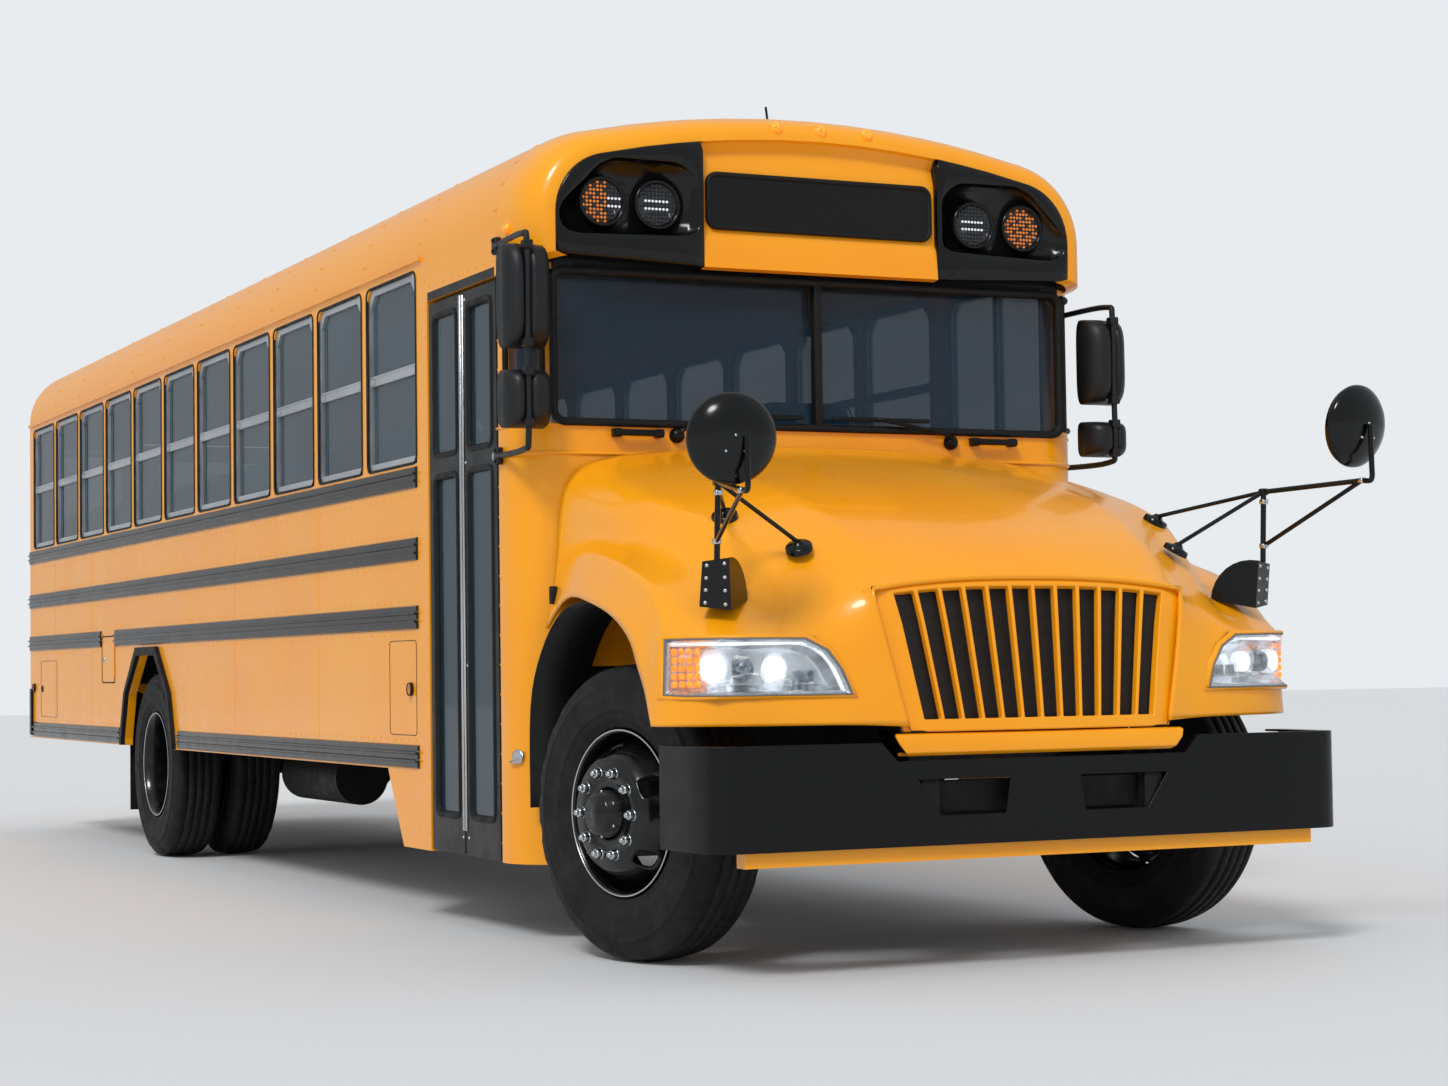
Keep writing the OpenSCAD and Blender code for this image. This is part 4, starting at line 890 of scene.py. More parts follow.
# each wiper: pivot boss, arm and blade
for pivot, tip_x in ((-.60, -.10), (.58, .08)):
    inward = 1 if tip_x > pivot else -1
    axis = turned((pivot, FRONT, 1.868), (90, "X"))
    add_lathe(bm, [(-.004, .030), (.016, .028), (.030, .018), (.034, 0)], 20, axis)
    add_tube(bm, smooth_route([(pivot, FRONT - .026, 1.868), (pivot + inward * .05, FRONT - .034, 1.90),
                               (tip_x - inward * .16, FRONT - .022, 1.952)], 5), .007, 8)
    low, high = sorted((tip_x - inward * .40, tip_x + inward * .03))
    add_box(bm, (low, FRONT - .022, 1.940), (high, FRONT - .010, 1.956), .002, 1)
    add_box(bm, (low + .02, FRONT - .011, 1.945), (high - .02, FRONT - .002, 1.950), .001, 1)
fittings = from_bm("grab_handles_and_wipers", bm, satin_black)


# ---------------------------------------------------------------- side mirrors
# Tall moulded heads clamped to a steel tube that stands off the cowl on two arms: a flat
# mirror above a small convex one, with a groove down each shell for the tube.
mirror_silver, tree, shader = surface("silvered mirror", "#C3CBD2", Metallic=1.0, Roughness=0.04)
vary(tree, shader, "Roughness", 200, 0.03, 0.06)
shell_black, tree, shader = surface("satin black nylon", "#131518", Roughness=0.42, Specular_IOR_Level=0.4)
vary(tree, shader, "Roughness", 60, 0.38, 0.5)
grain(tree, shader, 1.5, 0.06)

POLE_X, POLE_Y, FOOT_Y, LOW_ARM_Z = 1.250, -3.810, -3.446, 1.795
HEAD_HALF, HEAD_MID = .097, 1.236
shells, glasses, clamps = bmesh.new(), bmesh.new(), bmesh.new()


def mirror_head(side, z0, z1):
    """Rings from the foot to the top of one head: flat back, rounded front with a tube groove."""
    rings = []
    middle, half = (z0 + z1) / 2, (z1 - z0) / 2
    for k in range(17):
        t = -1 + 2 * k / 16
        z = middle + half * (math.sin(t * math.pi / 2))
        grow = (1 - abs(math.sin(t * math.pi / 2)) ** 5) ** .5 if abs(t) < 1 else 0
        wide, deep = HEAD_HALF * (.80 + .20 * grow), .118 * (.22 + .78 * grow)
        ring = []
        for j in range(29):
            u = -1 + 2 * j / 28
            x = u * wide
            y = -3.712 - deep * (1 - abs(u) ** 3.2) ** .5
            groove = math.exp(-((x + HEAD_MID - POLE_X) / .016) ** 2) * .028 * grow
            ring.append(shells.verts.new((side * (HEAD_MID + x), y + groove, z)))
        rings.append(ring)
    ring_strip(shells, rings)
    shells.faces.new(rings[0])
    shells.faces.new(list(reversed(rings[-1])))
    back = [glasses.verts.new((side * (HEAD_MID + x), -3.7095, middle + z))
            for x, z in rounded_box(HEAD_HALF - .010, half - .016, .03)]
    glasses.faces.new(back)
    for z in (z0 + .012, z1 - .012):
        spot = Vector((side * POLE_X, POLE_Y, z))
        add_box(clamps, spot - Vector((.018, .020, .016)), spot + Vector((.018, .020, .016)), .004, 1)


for side, arm_z, big, small in ((-1, 2.58, (2.165, 2.545), (1.875, 2.085)),
                                (1, 2.42, (2.03, 2.37), (1.82, 1.96))):
    mirror_head(side, *big)
    mirror_head(side, *small)
    bent = [(1.232, FOOT_Y, arm_z), (POLE_X, POLE_Y + .05, arm_z), (POLE_X, POLE_Y, arm_z - .05),
            (POLE_X, POLE_Y, (arm_z + LOW_ARM_Z) / 2), (POLE_X, POLE_Y, LOW_ARM_Z + .05),
            (POLE_X, POLE_Y + .05, LOW_ARM_Z), (1.232, FOOT_Y, LOW_ARM_Z)]
    add_tube(shells, smooth_route([(side * x, y, z) for x, y, z in bent], 6), .0115, 12)
    for z in (arm_z, LOW_ARM_Z):
        low = (min(side * WALL_X, side * 1.243), FOOT_Y - .022, z - .032)
        add_box(shells, low, (low[0] + .0238, FOOT_Y + .022, z + .032), .005)
        for dz in (-.02, .02):
            axis = turned((side * 1.243, FOOT_Y, z + dz), (side * 90, "Y"))
            add_lathe(clamps, [(0, .008), (.005, .008), (.007, .004), (.007, 0)], 6, axis)
heads = from_bm("side_mirror_heads", shells, shell_black)
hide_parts("side_mirrors")
silver = from_bm("side_mirror_glass", glasses, mirror_silver, smooth=False)
modify(silver, "SOLIDIFY", thickness=.003, offset=0)
clamped = from_bm("side_mirror_clamps", clamps, shell_black, smooth=False)


# ---------------------------------------------------------------- cross-view mirrors
# A black dome on a bent tube ahead of each fender, braced to the hood by two struts, with a
# riveted bracket under it and bright clamps where the tubes cross.
POST_FOOT, POST_TOP = Vector((1.072, -5.006, 1.345)), Vector((1.071, -5.020, 1.595))
# each head is set to its own height: side, middle of the dome, elbow of the arm
HEADS = {-1: (Vector((1.203, -5.395, 1.702)), Vector((1.186, -5.474, 1.540))),
         1: (Vector((1.176, -5.395, 1.800)), Vector((1.186, -5.474, 1.610)))}
LOW_CLAMP = Vector((1.074, -5.010, 1.403))
FEET = [Vector((.745, -4.945, 1.405)), Vector((.87, -4.64, 1.525))]
BRACKET = [(1.116, -4.987, 1.34), (1.038, -5.026, 1.351), (1.028, -5.017, 1.182), (1.118, -4.965, 1.195)]
tubes, clamps, rivets = bmesh.new(), bmesh.new(), bmesh.new()


def on_side(side, p):
    """A point given for the left, put on either side of the bus."""
    return Vector((side * p[0], p[1], p[2]))


for side, word in SIDES:
    centre, elbow = HEADS[side]
    add_tube(tubes, [on_side(side, POST_FOOT), on_side(side, POST_TOP)], .010, 10)
    before, after = elbow + Vector((-.004, .045, 0)), elbow + Vector((0, -.004, .045))
    bend = smooth_route([on_side(side, p) for p in (before, elbow, after)], 5)
    tip = on_side(side, (elbow.x, elbow.y - .002, centre.z))
    add_tube(tubes, [on_side(side, POST_TOP), on_side(side, before), *bend, tip], .0095, 10)
    add_tube(tubes, [on_side(side, LOW_CLAMP), on_side(side, before)], .008, 10)
    for foot in FEET:
        add_tube(tubes, [on_side(side, POST_TOP), on_side(side, foot)], .0075, 10)
        axis = turned(on_side(side, foot + Vector((0, 0, -.014))), (side * 22, "Y"), (22, "X"))
        add_lathe(tubes, [(-.012, .046), (.004, .045), (.009, .040), (.012, .022), (.024, .012)], 24, axis)
    # folded bracket: a riveted front plate, rounded over its top and back into the fender
    plate = [on_side(side, p) for p in BRACKET]
    backs = [on_side(side, (1.010, -4.855, 1.225)), on_side(side, (.915, -4.905, 1.215))]
    arcs = []
    for top, foot, back in ((plate[0], plate[3], backs[0]), (plate[1], plate[2], backs[1])):
        turns = [math.radians(90 * k / 8) for k in range(9)]
        arc = [foot + (top - foot) * math.cos(a) + (back - foot) * math.sin(a) for a in turns]
        arcs.append([tubes.verts.new(p) for p in arc + [foot]])
    ring_strip(tubes, arcs)
    for arc in arcs:
        tubes.faces.new(arc)
    normal = (plate[1] - plate[0]).cross(plate[3] - plate[0]).normalized()
    if normal.y > 0:
        normal = -normal
    for u in (.18, .82):
        for v in (.1, .37, .63, .9):
            p = plate[0].lerp(plate[1], u).lerp(plate[3].lerp(plate[2], u), v)
            axis = aimed(p, normal)
            add_lathe(rivets, [(0, .007), (.003, .006), (.005, 0)], 10, axis)
    for p in (POST_TOP - Vector((0, 0, .035)), LOW_CLAMP, before):
        v = on_side(side, p)
        add_box(clamps, v - Vector((.013, .012, .009)), v + Vector((.013, .012, .009)), .003, 1)
        axis = turned(v + Vector((0, -.012, 0)), (90, "X"))
        add_lathe(clamps, [(0, .006), (.008, .006), (.010, .003), (.010, 0)], 6, axis)
    knot, half = on_side(side, POST_TOP), Vector((.015, .014, .012))
    add_box(tubes, knot - half, knot + half, .004, 1)
    facing = turned(on_side(side, centre), (side * 12, "Z"), (98, "X"))
    for across, down in ((-.030, -.035), (.030, -.035), (0, .014)):
        add_lathe(rivets, [(.060, .005), (.070, .005), (.073, .003), (.073, 0)], 10,
                  facing @ Matrix.Translation((across, down, 0)))
    add_lathe(tubes, [(-.008, .136), (.006, .143), (.016, .142), (.024, .136), (.040, .120), (.056, .090),
                      (.066, .050), (.070, 0)], 48, facing)
    face = bmesh.new()
    add_lathe(face, [(-.008, .135), (-.014, .125), (-.024, .098), (-.032, .060), (-.036, .025),
                     (-.037, 0)], 48, facing)
    convex = from_bm("crossview_glass_" + word, face, mirror_silver, "hood")
arms = from_bm("crossview_arms", tubes, gloss_black, "hood")
soften(arms, .002, 1, 50)
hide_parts("crossview_mirrors")
for name, bm in (("crossview_clamps", clamps), ("crossview_rivets", rivets)):
    bright = from_bm(name, bm, bright_steel, "hood")


# ---------------------------------------------------------------- roof
# Rolled steel sheets over bows: white along the crown, yellow down the sides, with a lap seam
# and a row of rivets at every bow, and a gutter over the windows.
roof_enamel, tree, shader = surface("two-colour roof enamel", "#FBA208", Roughness=0.32, Coat_Weight=0.3,
                                    Coat_Roughness=0.1, Specular_IOR_Level=0.35)
across = add(tree, "ShaderNodeSeparateXYZ", Vector=place(tree))
across = add(tree, "ShaderNodeMath", {"operation": "ABSOLUTE"}, i0=across.outputs["X"])
WHITE_HALF = 0.872
crown_only = add(tree, "ShaderNodeMath", {"operation": "LESS_THAN"}, i0=across.outputs[0], i1=WHITE_HALF)
speckle = add(tree, "ShaderNodeTexNoise", Vector=place(tree), Scale=2.0, Detail=4.0)
yellow = add(tree, "ShaderNodeMix", {"data_type": "RGBA"}, i0=speckle.outputs["Fac"],
             i6=srgb("#FA9F05"), i7=srgb("#FCA70E"))
white = add(tree, "ShaderNodeMix", {"data_type": "RGBA"}, i0=speckle.outputs["Fac"],
            i6=srgb("#F4F4F1"), i7=srgb("#E9E9E4"))
both = add(tree, "ShaderNodeMix", {"data_type": "RGBA"}, i0=crown_only.outputs[0],
           i6=yellow.outputs[2], i7=white.outputs[2])
tree.links.new(both.outputs[2], shader.inputs["Base Color"])
grain(tree, shader, 10, 0.05)
repaint("roof", roof_enamel)


def rivet_row(bm, start, stop, pitch, outward, radius=.0055, height=.003):
    start, stop = Vector(start), Vector(stop)
    count = max(1, round((stop - start).length / pitch))
    for k in range(count + 1):
        add_lathe(bm, [(0, radius), (height * .7, radius * .7), (height, 0)], 7,
                  aimed(start.lerp(stop, k / count), outward))


PITCH, FIRST_POST, WINDOWS = .711, -2.522, 11
HATCHES = {"front_hatch": -.70, "rear_hatch": 2.60}
posts = [FIRST_POST + PITCH * k for k in range(WINDOWS + 1)]
seams, rivets = bmesh.new(), bmesh.new()
for y in [-3.40] + posts[:-1]:
    outline = section(-.0012, 2.70)
    rows = [[seams.verts.new((x, y + dy, z)) for x, z in outline] for dy in (-.022, .022)]
    for k in range(len(outline) - 1):
        on_crown = max(abs(outline[k][0]), abs(outline[k + 1][0])) < .875
        if on_crown and all(abs(y - hatch) > .36 or abs(outline[k][0]) > .36 for hatch in HATCHES.values()):
            seams.faces.new((rows[0][k], rows[0][k + 1], rows[1][k + 1], rows[1][k]))
    for side in (-1, 1):
        for step in range(4):
            a = math.radians(8 + step * 17)
            x = .869 + .3505 * math.cos(a)
            z = 2.6757 + .3505 * math.sin(a)
            for dy in (-.012, .012):
                rivet_row(rivets, (side * x, y + dy, z), (side * x, y + dy + .0001, z), 1,
                          (side * math.cos(a), 0, math.sin(a)))
seam_piece = from_bm("roof_seams", seams, roof_enamel)
modify(seam_piece, "SOLIDIFY", thickness=.0025, offset=1)

GUTTER_Z = 2.652
bm = bmesh.new()
for side in (-1, 1):
    profile = [(1.2185, .010), (1.229, .007), (1.232, .016), (1.2345, .016), (1.2335, 0), (1.2185, -.003)]
    rows = [[bm.verts.new((side * x, y, GUTTER_Z + z)) for x, z in profile] for y in (-2.56, 5.39)]
    ring_strip(bm, rows)
    bm.faces.new(rows[0])
    bm.faces.new(list(reversed(rows[1])))
gutters = from_bm("gutters", bm, enamel, smooth=False)


# ---------------------------------------------------------------- side walls
# Sheet-steel panels riveted to the frame: rivets under the gutter, round the windows, along
# both edges of every rail and down to the skirt, and a battery door on the door side.
RIVET_PITCH, SMALL_RIVET = .089, (.0048, .0026)
BELTS = [2.672, 1.712, 1.560, 1.428, 1.288, 1.150, .724]
for side in (-1, 1):
    face = side * WALL_X
    for z in BELTS:
        start = -2.50 if side < 0 or z < 1.0 else -3.30
        stretches = [(start, 5.37)] if z > 1.12 else [(-2.45, 1.40), (2.83, 5.37)]
        if side < 0 and z == 1.150:
            stretches = [(start, 2.86), (3.32, 5.37)]
        for a, b in stretches:
            rivet_row(rivets, (face, a, z), (face, b, z), RIVET_PITCH, (side, 0, 0), *SMALL_RIVET)
    for y in posts:
        for dy in (-.020, .020):
            rivet_row(rivets, (face, y + dy, 1.86), (face, y + dy, 2.60), .148, (side, 0, 0), *SMALL_RIVET)
riveting = from_bm("body_rivets", rivets, enamel)

bm = bmesh.new()
for side in (-1, 1):
    for y in (-1.10, .32, 3.56, 4.62):
        for low, high in ((.712, 1.160), (1.275, 1.440), (1.548, 1.735)):
            add_box(bm, (side * 1.2190 - .0011, y - .020, low), (side * 1.2190 + .0011, y + .020, high))
laps = from_bm("panel_laps", bm, enamel, smooth=False)

# thin dark joints round the doors in the skirt, each but the battery door with a round latch
bm = bmesh.new()
for side, y0, y1, z0, z1 in ((-1, -2.46, -2.12, .742, 1.125), (1, -2.46, -1.62, .742, 1.125),
                             (-1, 4.55, 5.05, .742, 1.10), (1, 3.60, 4.40, .742, 1.10)):
    x = side * 1.2196
    loop = [(x, (y0 + y1) / 2 + a, (z0 + z1) / 2 + b)
            for a, b in rounded_box((y1 - y0) / 2, (z1 - z0) / 2, .02, 4)]
    add_tube(bm, loop + [loop[0]], .0013, 6)
    if side < 0 and y1 < 0:
        continue
    axis = turned((x, y1 - .05, (z0 + z1) / 2), (side * 90, "Y"))
    add_lathe(bm, [(-.002, .022), (.004, .021), (.004, .012), (.001, .010), (.001, 0)], 18, axis)
joints = from_bm("panel_joints", bm, moulded_rubber)


# ---------------------------------------------------------------- rub rails
# Rolled steel channels painted black, each with two pressed beads along it and dressed ends.
RIGHT_RAILS = [(1.740, 1.828, -2.49, 5.396), (1.447, 1.541, -2.49, 5.396), (1.169, 1.266, -2.49, 2.91),
               (1.169, 1.266, 3.27, 5.396), (.608, .703, -2.49, 1.44), (.608, .703, 2.78, 5.29)]
LEFT_RAILS = [(1.740, 1.828, -3.30, 5.396), (1.447, 1.541, -3.30, 5.396), (1.169, 1.266, -3.30, 5.396),
              (.608, .703, -2.50, 1.44), (.608, .703, 2.78, 5.29)]
RAIL_SHAPE = [(0, 0), (.05, .008), (.24, .008), (.29, .0178), (.36, .0178), (.41, .008), (.59, .008),
              (.64, .0178), (.71, .0178), (.76, .008), (.95, .008), (1, 0)]
bm = bmesh.new()
for side, rails in ((-1, RIGHT_RAILS), (1, LEFT_RAILS)):
    for low, high, start, stop in rails:
        rows = []
        for y, out in ((start, .1), (start + .006, 1), (stop - .006, 1), (stop, .1)):
            rows.append([bm.verts.new((side * (WALL_X + depth * out), y, low + (high - low) * t))
                         for t, depth in RAIL_SHAPE])
        ring_strip(bm, rows)
        bm.faces.new(rows[0])
        bm.faces.new(list(reversed(rows[-1])))
rails = from_bm("rub_rail_bars", bm, gloss_black, smooth=False)
soften(rails, .0012, 2, 20)
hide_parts("rub_rails")


# ---------------------------------------------------------------- side windows
# Split sashes of extruded aluminium, the upper half dropping behind the lower, each set in a
# black rubber channel in the wall; a latch stands at each end of the middle bar.
sash_metal, tree, shader = surface("mill-finish aluminium", "#BFC4C8", Metallic=0.85, Roughness=0.38)
vary(tree, shader, "Roughness", 80, 0.32, 0.46)
vary(tree, shader, "Base Color", 500, srgb("#B4B9BE"), srgb("#C9CDD0"))
grain(tree, shader, 3, 0.05)
repaint("window_sashes", sash_metal)
soften(NODES["window_sashes"], .002)
channels, latches = bmesh.new(), bmesh.new()
for side in (-1, 1):
    for k in range(WINDOWS):
        y0, y1 = posts[k] + .033, posts[k + 1] - .033
        loop = [(side * 1.2178, (y0 + y1) / 2 + a, 2.231 + b)
                for a, b in rounded_box((y1 - y0) / 2 - .002, .389, .04, 4)]
        add_tube(channels, loop + [loop[0]], .0065, 6)
        for y in (y0 + .06, y1 - .06):
            x = side * 1.2110
            add_box(latches, (x - .006, y - .022, 2.210), (x + .006, y + .022, 2.236), .002, 1)
        # rain lip of the upper sash and a bead along the middle bar
        x = side * 1.2105
        add_box(latches, (x - .005, y0 + .035, 2.240), (x + .005, y1 - .035, 2.247), .001, 1)
channel = from_bm("window_channels", channels, moulded_rubber)
latch = from_bm("window_latches", latches, sash_metal, smooth=False)


# ---------------------------------------------------------------- entrance leaves
# Two outward-folding leaves of extruded aluminium painted black, each with an upper and a long
# lower pane in rubber, bright edge trims where they meet, and a lock on the front leaf.
DOOR_FRONT, DOOR_REAR, MEET, DOOR_LOW, DOOR_HIGH = -3.400, -2.622, -3.012, .294, 2.464
LEAF_OUT, LEAF_IN = -1.215, -1.175
PANES = [(.438, 1.768), (1.848, 2.408)]


def door_leaf(name, node, body, y0, y1):
    frame_bm, rubber, panes = bmesh.new(), bmesh.new(), bmesh.new()
    for low, high in ((DOOR_LOW, PANES[0][0]), (PANES[0][1], PANES[1][0]), (PANES[1][1], DOOR_HIGH)):
        add_box(frame_bm, (LEAF_OUT, y0 + .050, low), (LEAF_IN, y1 - .050, high), .003, 1)
    for a, b in ((y0, y0 + .058), (y1 - .058, y1)):
        add_box(frame_bm, (LEAF_OUT, a, DOOR_LOW), (LEAF_IN, b, DOOR_HIGH), .005, 2)
    for low, high in PANES:
        middle_y, middle_z = (y0 + y1) / 2, (low + high) / 2
        half_y, half_z = (y1 - y0) / 2 - .058, (high - low) / 2
        loops = []
        for grow, x in ((.012, 0), (.008, -.005), (-.004, -.005), (-.014, .004), (-.014, .030),
                        (.012, .032)):
            loops.append([rubber.verts.new((LEAF_OUT + x, middle_y + a, middle_z + b))
                          for a, b in rounded_box(half_y + grow, half_z + grow, .035 + grow, 5)])
        ring_strip(rubber, loops)
        panes.faces.new([panes.verts.new((LEAF_OUT + .014, middle_y + a, middle_z + b))
                         for a, b in rounded_box(half_y - .004, half_z - .004, .03, 5)])
    made = from_bm(name + "_frame", frame_bm, satin_black, body, smooth=False)
    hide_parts(node)
    made = from_bm(name + "_rubber", rubber, moulded_rubber, body)
    made = from_bm(name + "_panes", panes, side_glass, body, smooth=False)
    modify(made, "SOLIDIFY", thickness=.006, offset=-1)


for name, node, body, y0, y1 in (
        ("front_leaf", "entrance_door_front_leaf", "entrance_front_leaf", DOOR_FRONT + .006, MEET - .004),
        ("rear_leaf", "entrance_door_rear_leaf", "entrance_rear_leaf", MEET + .004, DOOR_REAR - .006)):
    door_leaf(name, node, body, y0, y1)
    edge = y1 - .010 if name == "front_leaf" else y0 + .010
    bm = bmesh.new()
    add_box(bm, (LEAF_OUT - .005, edge - .009, .385), (LEAF_OUT + .001, edge + .009, DOOR_HIGH - .01),
            .002, 1)
    if name == "front_leaf":
        axis = turned((LEAF_OUT, y0 + .03, 1.80), (-90, "Y"))
        add_lathe(bm, [(0, .016), (.005, .015), (.005, .006), (.002, .005), (.002, 0)], 16, axis)
    for z in (.36, 1.02, 1.80, 2.43):
        screw_y = y0 + .02 if name == "rear_leaf" else y1 - .034
        add_lathe(bm, [(0, .006), (.003, .005), (.004, 0)], 10, turned((LEAF_OUT, screw_y, z), (-90, "Y")))
    trim = from_bm(name + "_trim", bm, bright_steel, body)

# header and yellow jamb round the doorway, riveted
bm = bmesh.new()
add_box(bm, (-1.2205, DOOR_FRONT + .01, 2.476), (-1.2150, DOOR_REAR - .01, 2.512), .002, 1)
header = from_bm("door_header", bm, satin_black, smooth=False)
bm = bmesh.new()
for y in (DOOR_FRONT - .02, DOOR_REAR + .022):
    rivet_row(bm, (-WALL_X, y, .36), (-WALL_X, y, 2.56), .11, (-1, 0, 0), *SMALL_RIVET)
rivet_row(bm, (-WALL_X, -3.38, 2.535), (-WALL_X, -2.64, 2.535), RIVET_PITCH, (-1, 0, 0), *SMALL_RIVET)
for side in (-1, 1):
    rivet_row(bm, (side * WALL_X, -3.40, 2.60), (side * WALL_X, -3.405, 2.60), .1, (side, 0, 0))
jamb = from_bm("door_jamb_rivets", bm, enamel)


# ---------------------------------------------------------------- tyres
# Ribbed truck tyres: five ribs with stepped grooves between them, notched shoulders, and plain
# sidewalls with moulded rings.
tyre_rubber, tree, shader = surface("tyre rubber", "#141415", Roughness=0.72, Specular_IOR_Level=0.3)
vary(tree, shader, "Base Color", 120, srgb("#111112"), srgb("#1D1D1C"), 5)
vary(tree, shader, "Roughness", 40, 0.62, 0.8)
grain(tree, shader, 2, 0.12, 3)
# half a tyre as (along the axle, radius): the tread from its shoulder to the middle, and the
# sidewall from the bead out to the shoulder
TREAD = [(.104, .4965), (.070, .5040), (.0685, .4915), (.0595, .4915), (.058, .5055), (.026, .5072),
         (.0245, .4935), (.0155, .4935), (.014, .5078)]
SIDEWALL = [(.098, .2870), (.112, .2890), (.1195, .2985), (.1210, .3120), (.1240, .3140), (.1290, .3300),
            (.1325, .3480), (.1345, .3490), (.1348, .3530), (.1338, .3545), (.1372, .3900),
            (.1378, .4150), (.1362, .4330), (.1370, .4345), (.1362, .4390), (.1340, .4400),
            (.1290, .4600), (.1220, .4790), (.1130, .4900)]
STEER_REST, KINGPIN_X, FRONT_AXLE_Y, AXLE_Z, HUB_OFFSET = 13.5, .900, -4.300, .508, .130
REAR_TRACK_X, REAR_AXLE_Y, DUAL_HALF = .898, 2.100, .161
TYRE_STEPS = 132


def add_tyre(bm, axis):
    half = SIDEWALL + TREAD
    profile = half + [(-a, r) for a, r in reversed(half)]
    inner = [(-.085, .300), (0, .330), (.085, .300)]
    profile += inner
    rings = []
    for k in range(TYRE_STEPS):
        angle = math.tau * k / TYRE_STEPS
        ring = []
        for along, radius in profile:
            if .105 < abs(along) < .1345 and radius > .47 and k % 6 in (0, 1):
                radius -= .007
            if abs(along) < .071 and radius < .495:
                along += .0022 * (1 if k % 12 < 6 else -1)
            spot = Vector((radius * math.cos(angle), radius * math.sin(angle), along))
            ring.append(bm.verts.new(axis @ spot))
        rings.append(ring)
    n = len(profile)
    for k in range(TYRE_STEPS):
        a, b = rings[k], rings[(k + 1) % TYRE_STEPS]
        for j in range(n):
            bm.faces.new((a[j], b[j], b[(j + 1) % n], a[(j + 1) % n]))


def wheel_axis(side, rear):
    """Frame of a wheel with its Z axis pointing outboard along the axle."""
    out = Matrix.Rotation(side * math.radians(90), 4, "Y")
    if rear:
        return Matrix.Translation((side * REAR_TRACK_X, REAR_AXLE_Y, AXLE_Z)) @ out
    return turned((side * KINGPIN_X, FRONT_AXLE_Y, AXLE_Z), (STEER_REST, "Z")) \
        @ Matrix.Translation((side * HUB_OFFSET, 0, 0)) @ out


# ---------------------------------------------------------------- wheels
# Pressed steel disc wheels in gloss black: a bright outer lip, round hand holes, ten plated nuts
# on the nave and a stepped hub cap.
wheel_enamel, tree, shader = surface("gloss black wheel enamel", "#08090A", Roughness=0.22, Coat_Weight=0.2,
                                     Coat_Roughness=0.06, Specular_IOR_Level=0.4)
vary(tree, shader, "Roughness", 70, 0.18, 0.32)
grain(tree, shader, 6, 0.05)
NUTS, NUT_CIRCLE, HOLES = 10, .143, 5
DISH_DEPTH = {1: .118, -1: .062}
STEER_FACE, DUAL_FACE, STEER_CAP, DUAL_CAP = .170, -.128, .228, -.040


def add_disc_wheel(dark, bright, axis, face, lean):
    """face: how far outboard the nave lies; lean: +1 where the dish stands out, -1 where it is sunk."""
    at = face - lean * DISH_DEPTH[lean]
    rim = [(.1195, .2855), (.1215, .2840), (.1200, .2790), (.1120, .2730), (.0930, .2660), (.0700, .2600),
           (max(at + .005, .02), .2560), (at, .2525)]
    add_lathe(dark, rim, 96, axis)
    add_lathe(dark, [(-.1195, .2855), (-.1120, .2730), (-.0930, .2660), (-.07, .2600), (at - .02, .2540)],
              64, axis)
    add_lathe(bright, [(.1216, .2846), (.1232, .2822), (.1226, .2800), (.1206, .2790)], 96, axis)
    add_lathe(dark, [(face + .001, .176), (face + .006, .172), (face + .006, .112), (face + .001, .108)],
              60, axis)
    for k in range(NUTS):
        a = math.tau * k / NUTS + math.tau / 20
        spot = axis @ Matrix.Translation((NUT_CIRCLE * math.cos(a), NUT_CIRCLE * math.sin(a), face + .004))
        add_lathe(bright, [(0, .0205), (.004, .0205), (.006, .0185)], 18, spot)
        add_lathe(bright, [(.004, .0175), (.020, .0175), (.024, .0150), (.024, .0100)], 6, spot)
        add_lathe(bright, [(.022, .0105), (.033, .0100), (.036, .0060), (.036, 0)], 12, spot)
    top = STEER_CAP if lean > 0 else DUAL_CAP
    add_lathe(dark, [(face - .02, .090), (top - .062, .088), (top - .056, .082), (top - .030, .080),
                     (top - .024, .072), (top - .006, .069), (top, .060), (top - .002, .030),
                     (top + .002, .026), (top + .002, 0)], 48, axis)
    for k in range(6):
        a = math.tau * k / 6
        spot = axis @ Matrix.Translation((.076 * math.cos(a), .076 * math.sin(a), top - .030))
        add_lathe(bright, [(0, .006), (.004, .006), (.005, .003), (.005, 0)], 6, spot)


def dish_piece(name, axis, face, lean, body):
    """The dish between the rim and the nave, with real hand holes."""
    bm = bmesh.new()
    deep = lean * DISH_DEPTH[lean]
    radii = [(face - deep * (1 - t), r) for t, r in ((0, .2525), (.07, .246), (.36, .228), (.72, .207),
                                                     (.94, .190))]
    radii += [(face, .178), (face, .108), (face, .088)]
    count = 60
    round_about = [(math.cos(math.tau * k / count), math.sin(math.tau * k / count)) for k in range(count)]
    rings = [[bm.verts.new(axis @ Vector((r * x, r * y, z))) for x, y in round_about] for z, r in radii]
    for j in range(len(rings) - 1):
        for k in range(count):
            if j in (2, 3) and k % (count // HOLES) < 3:
                continue
            k_next = (k + 1) % count
            bm.faces.new((rings[j][k], rings[j][k_next], rings[j + 1][k_next], rings[j + 1][k]))
    made = from_bm(name, bm, wheel_enamel, body)
    modify(made, "SUBSURF", levels=1, render_levels=1)
    modify(made, "SOLIDIFY", thickness=.010, offset=0)
    return made


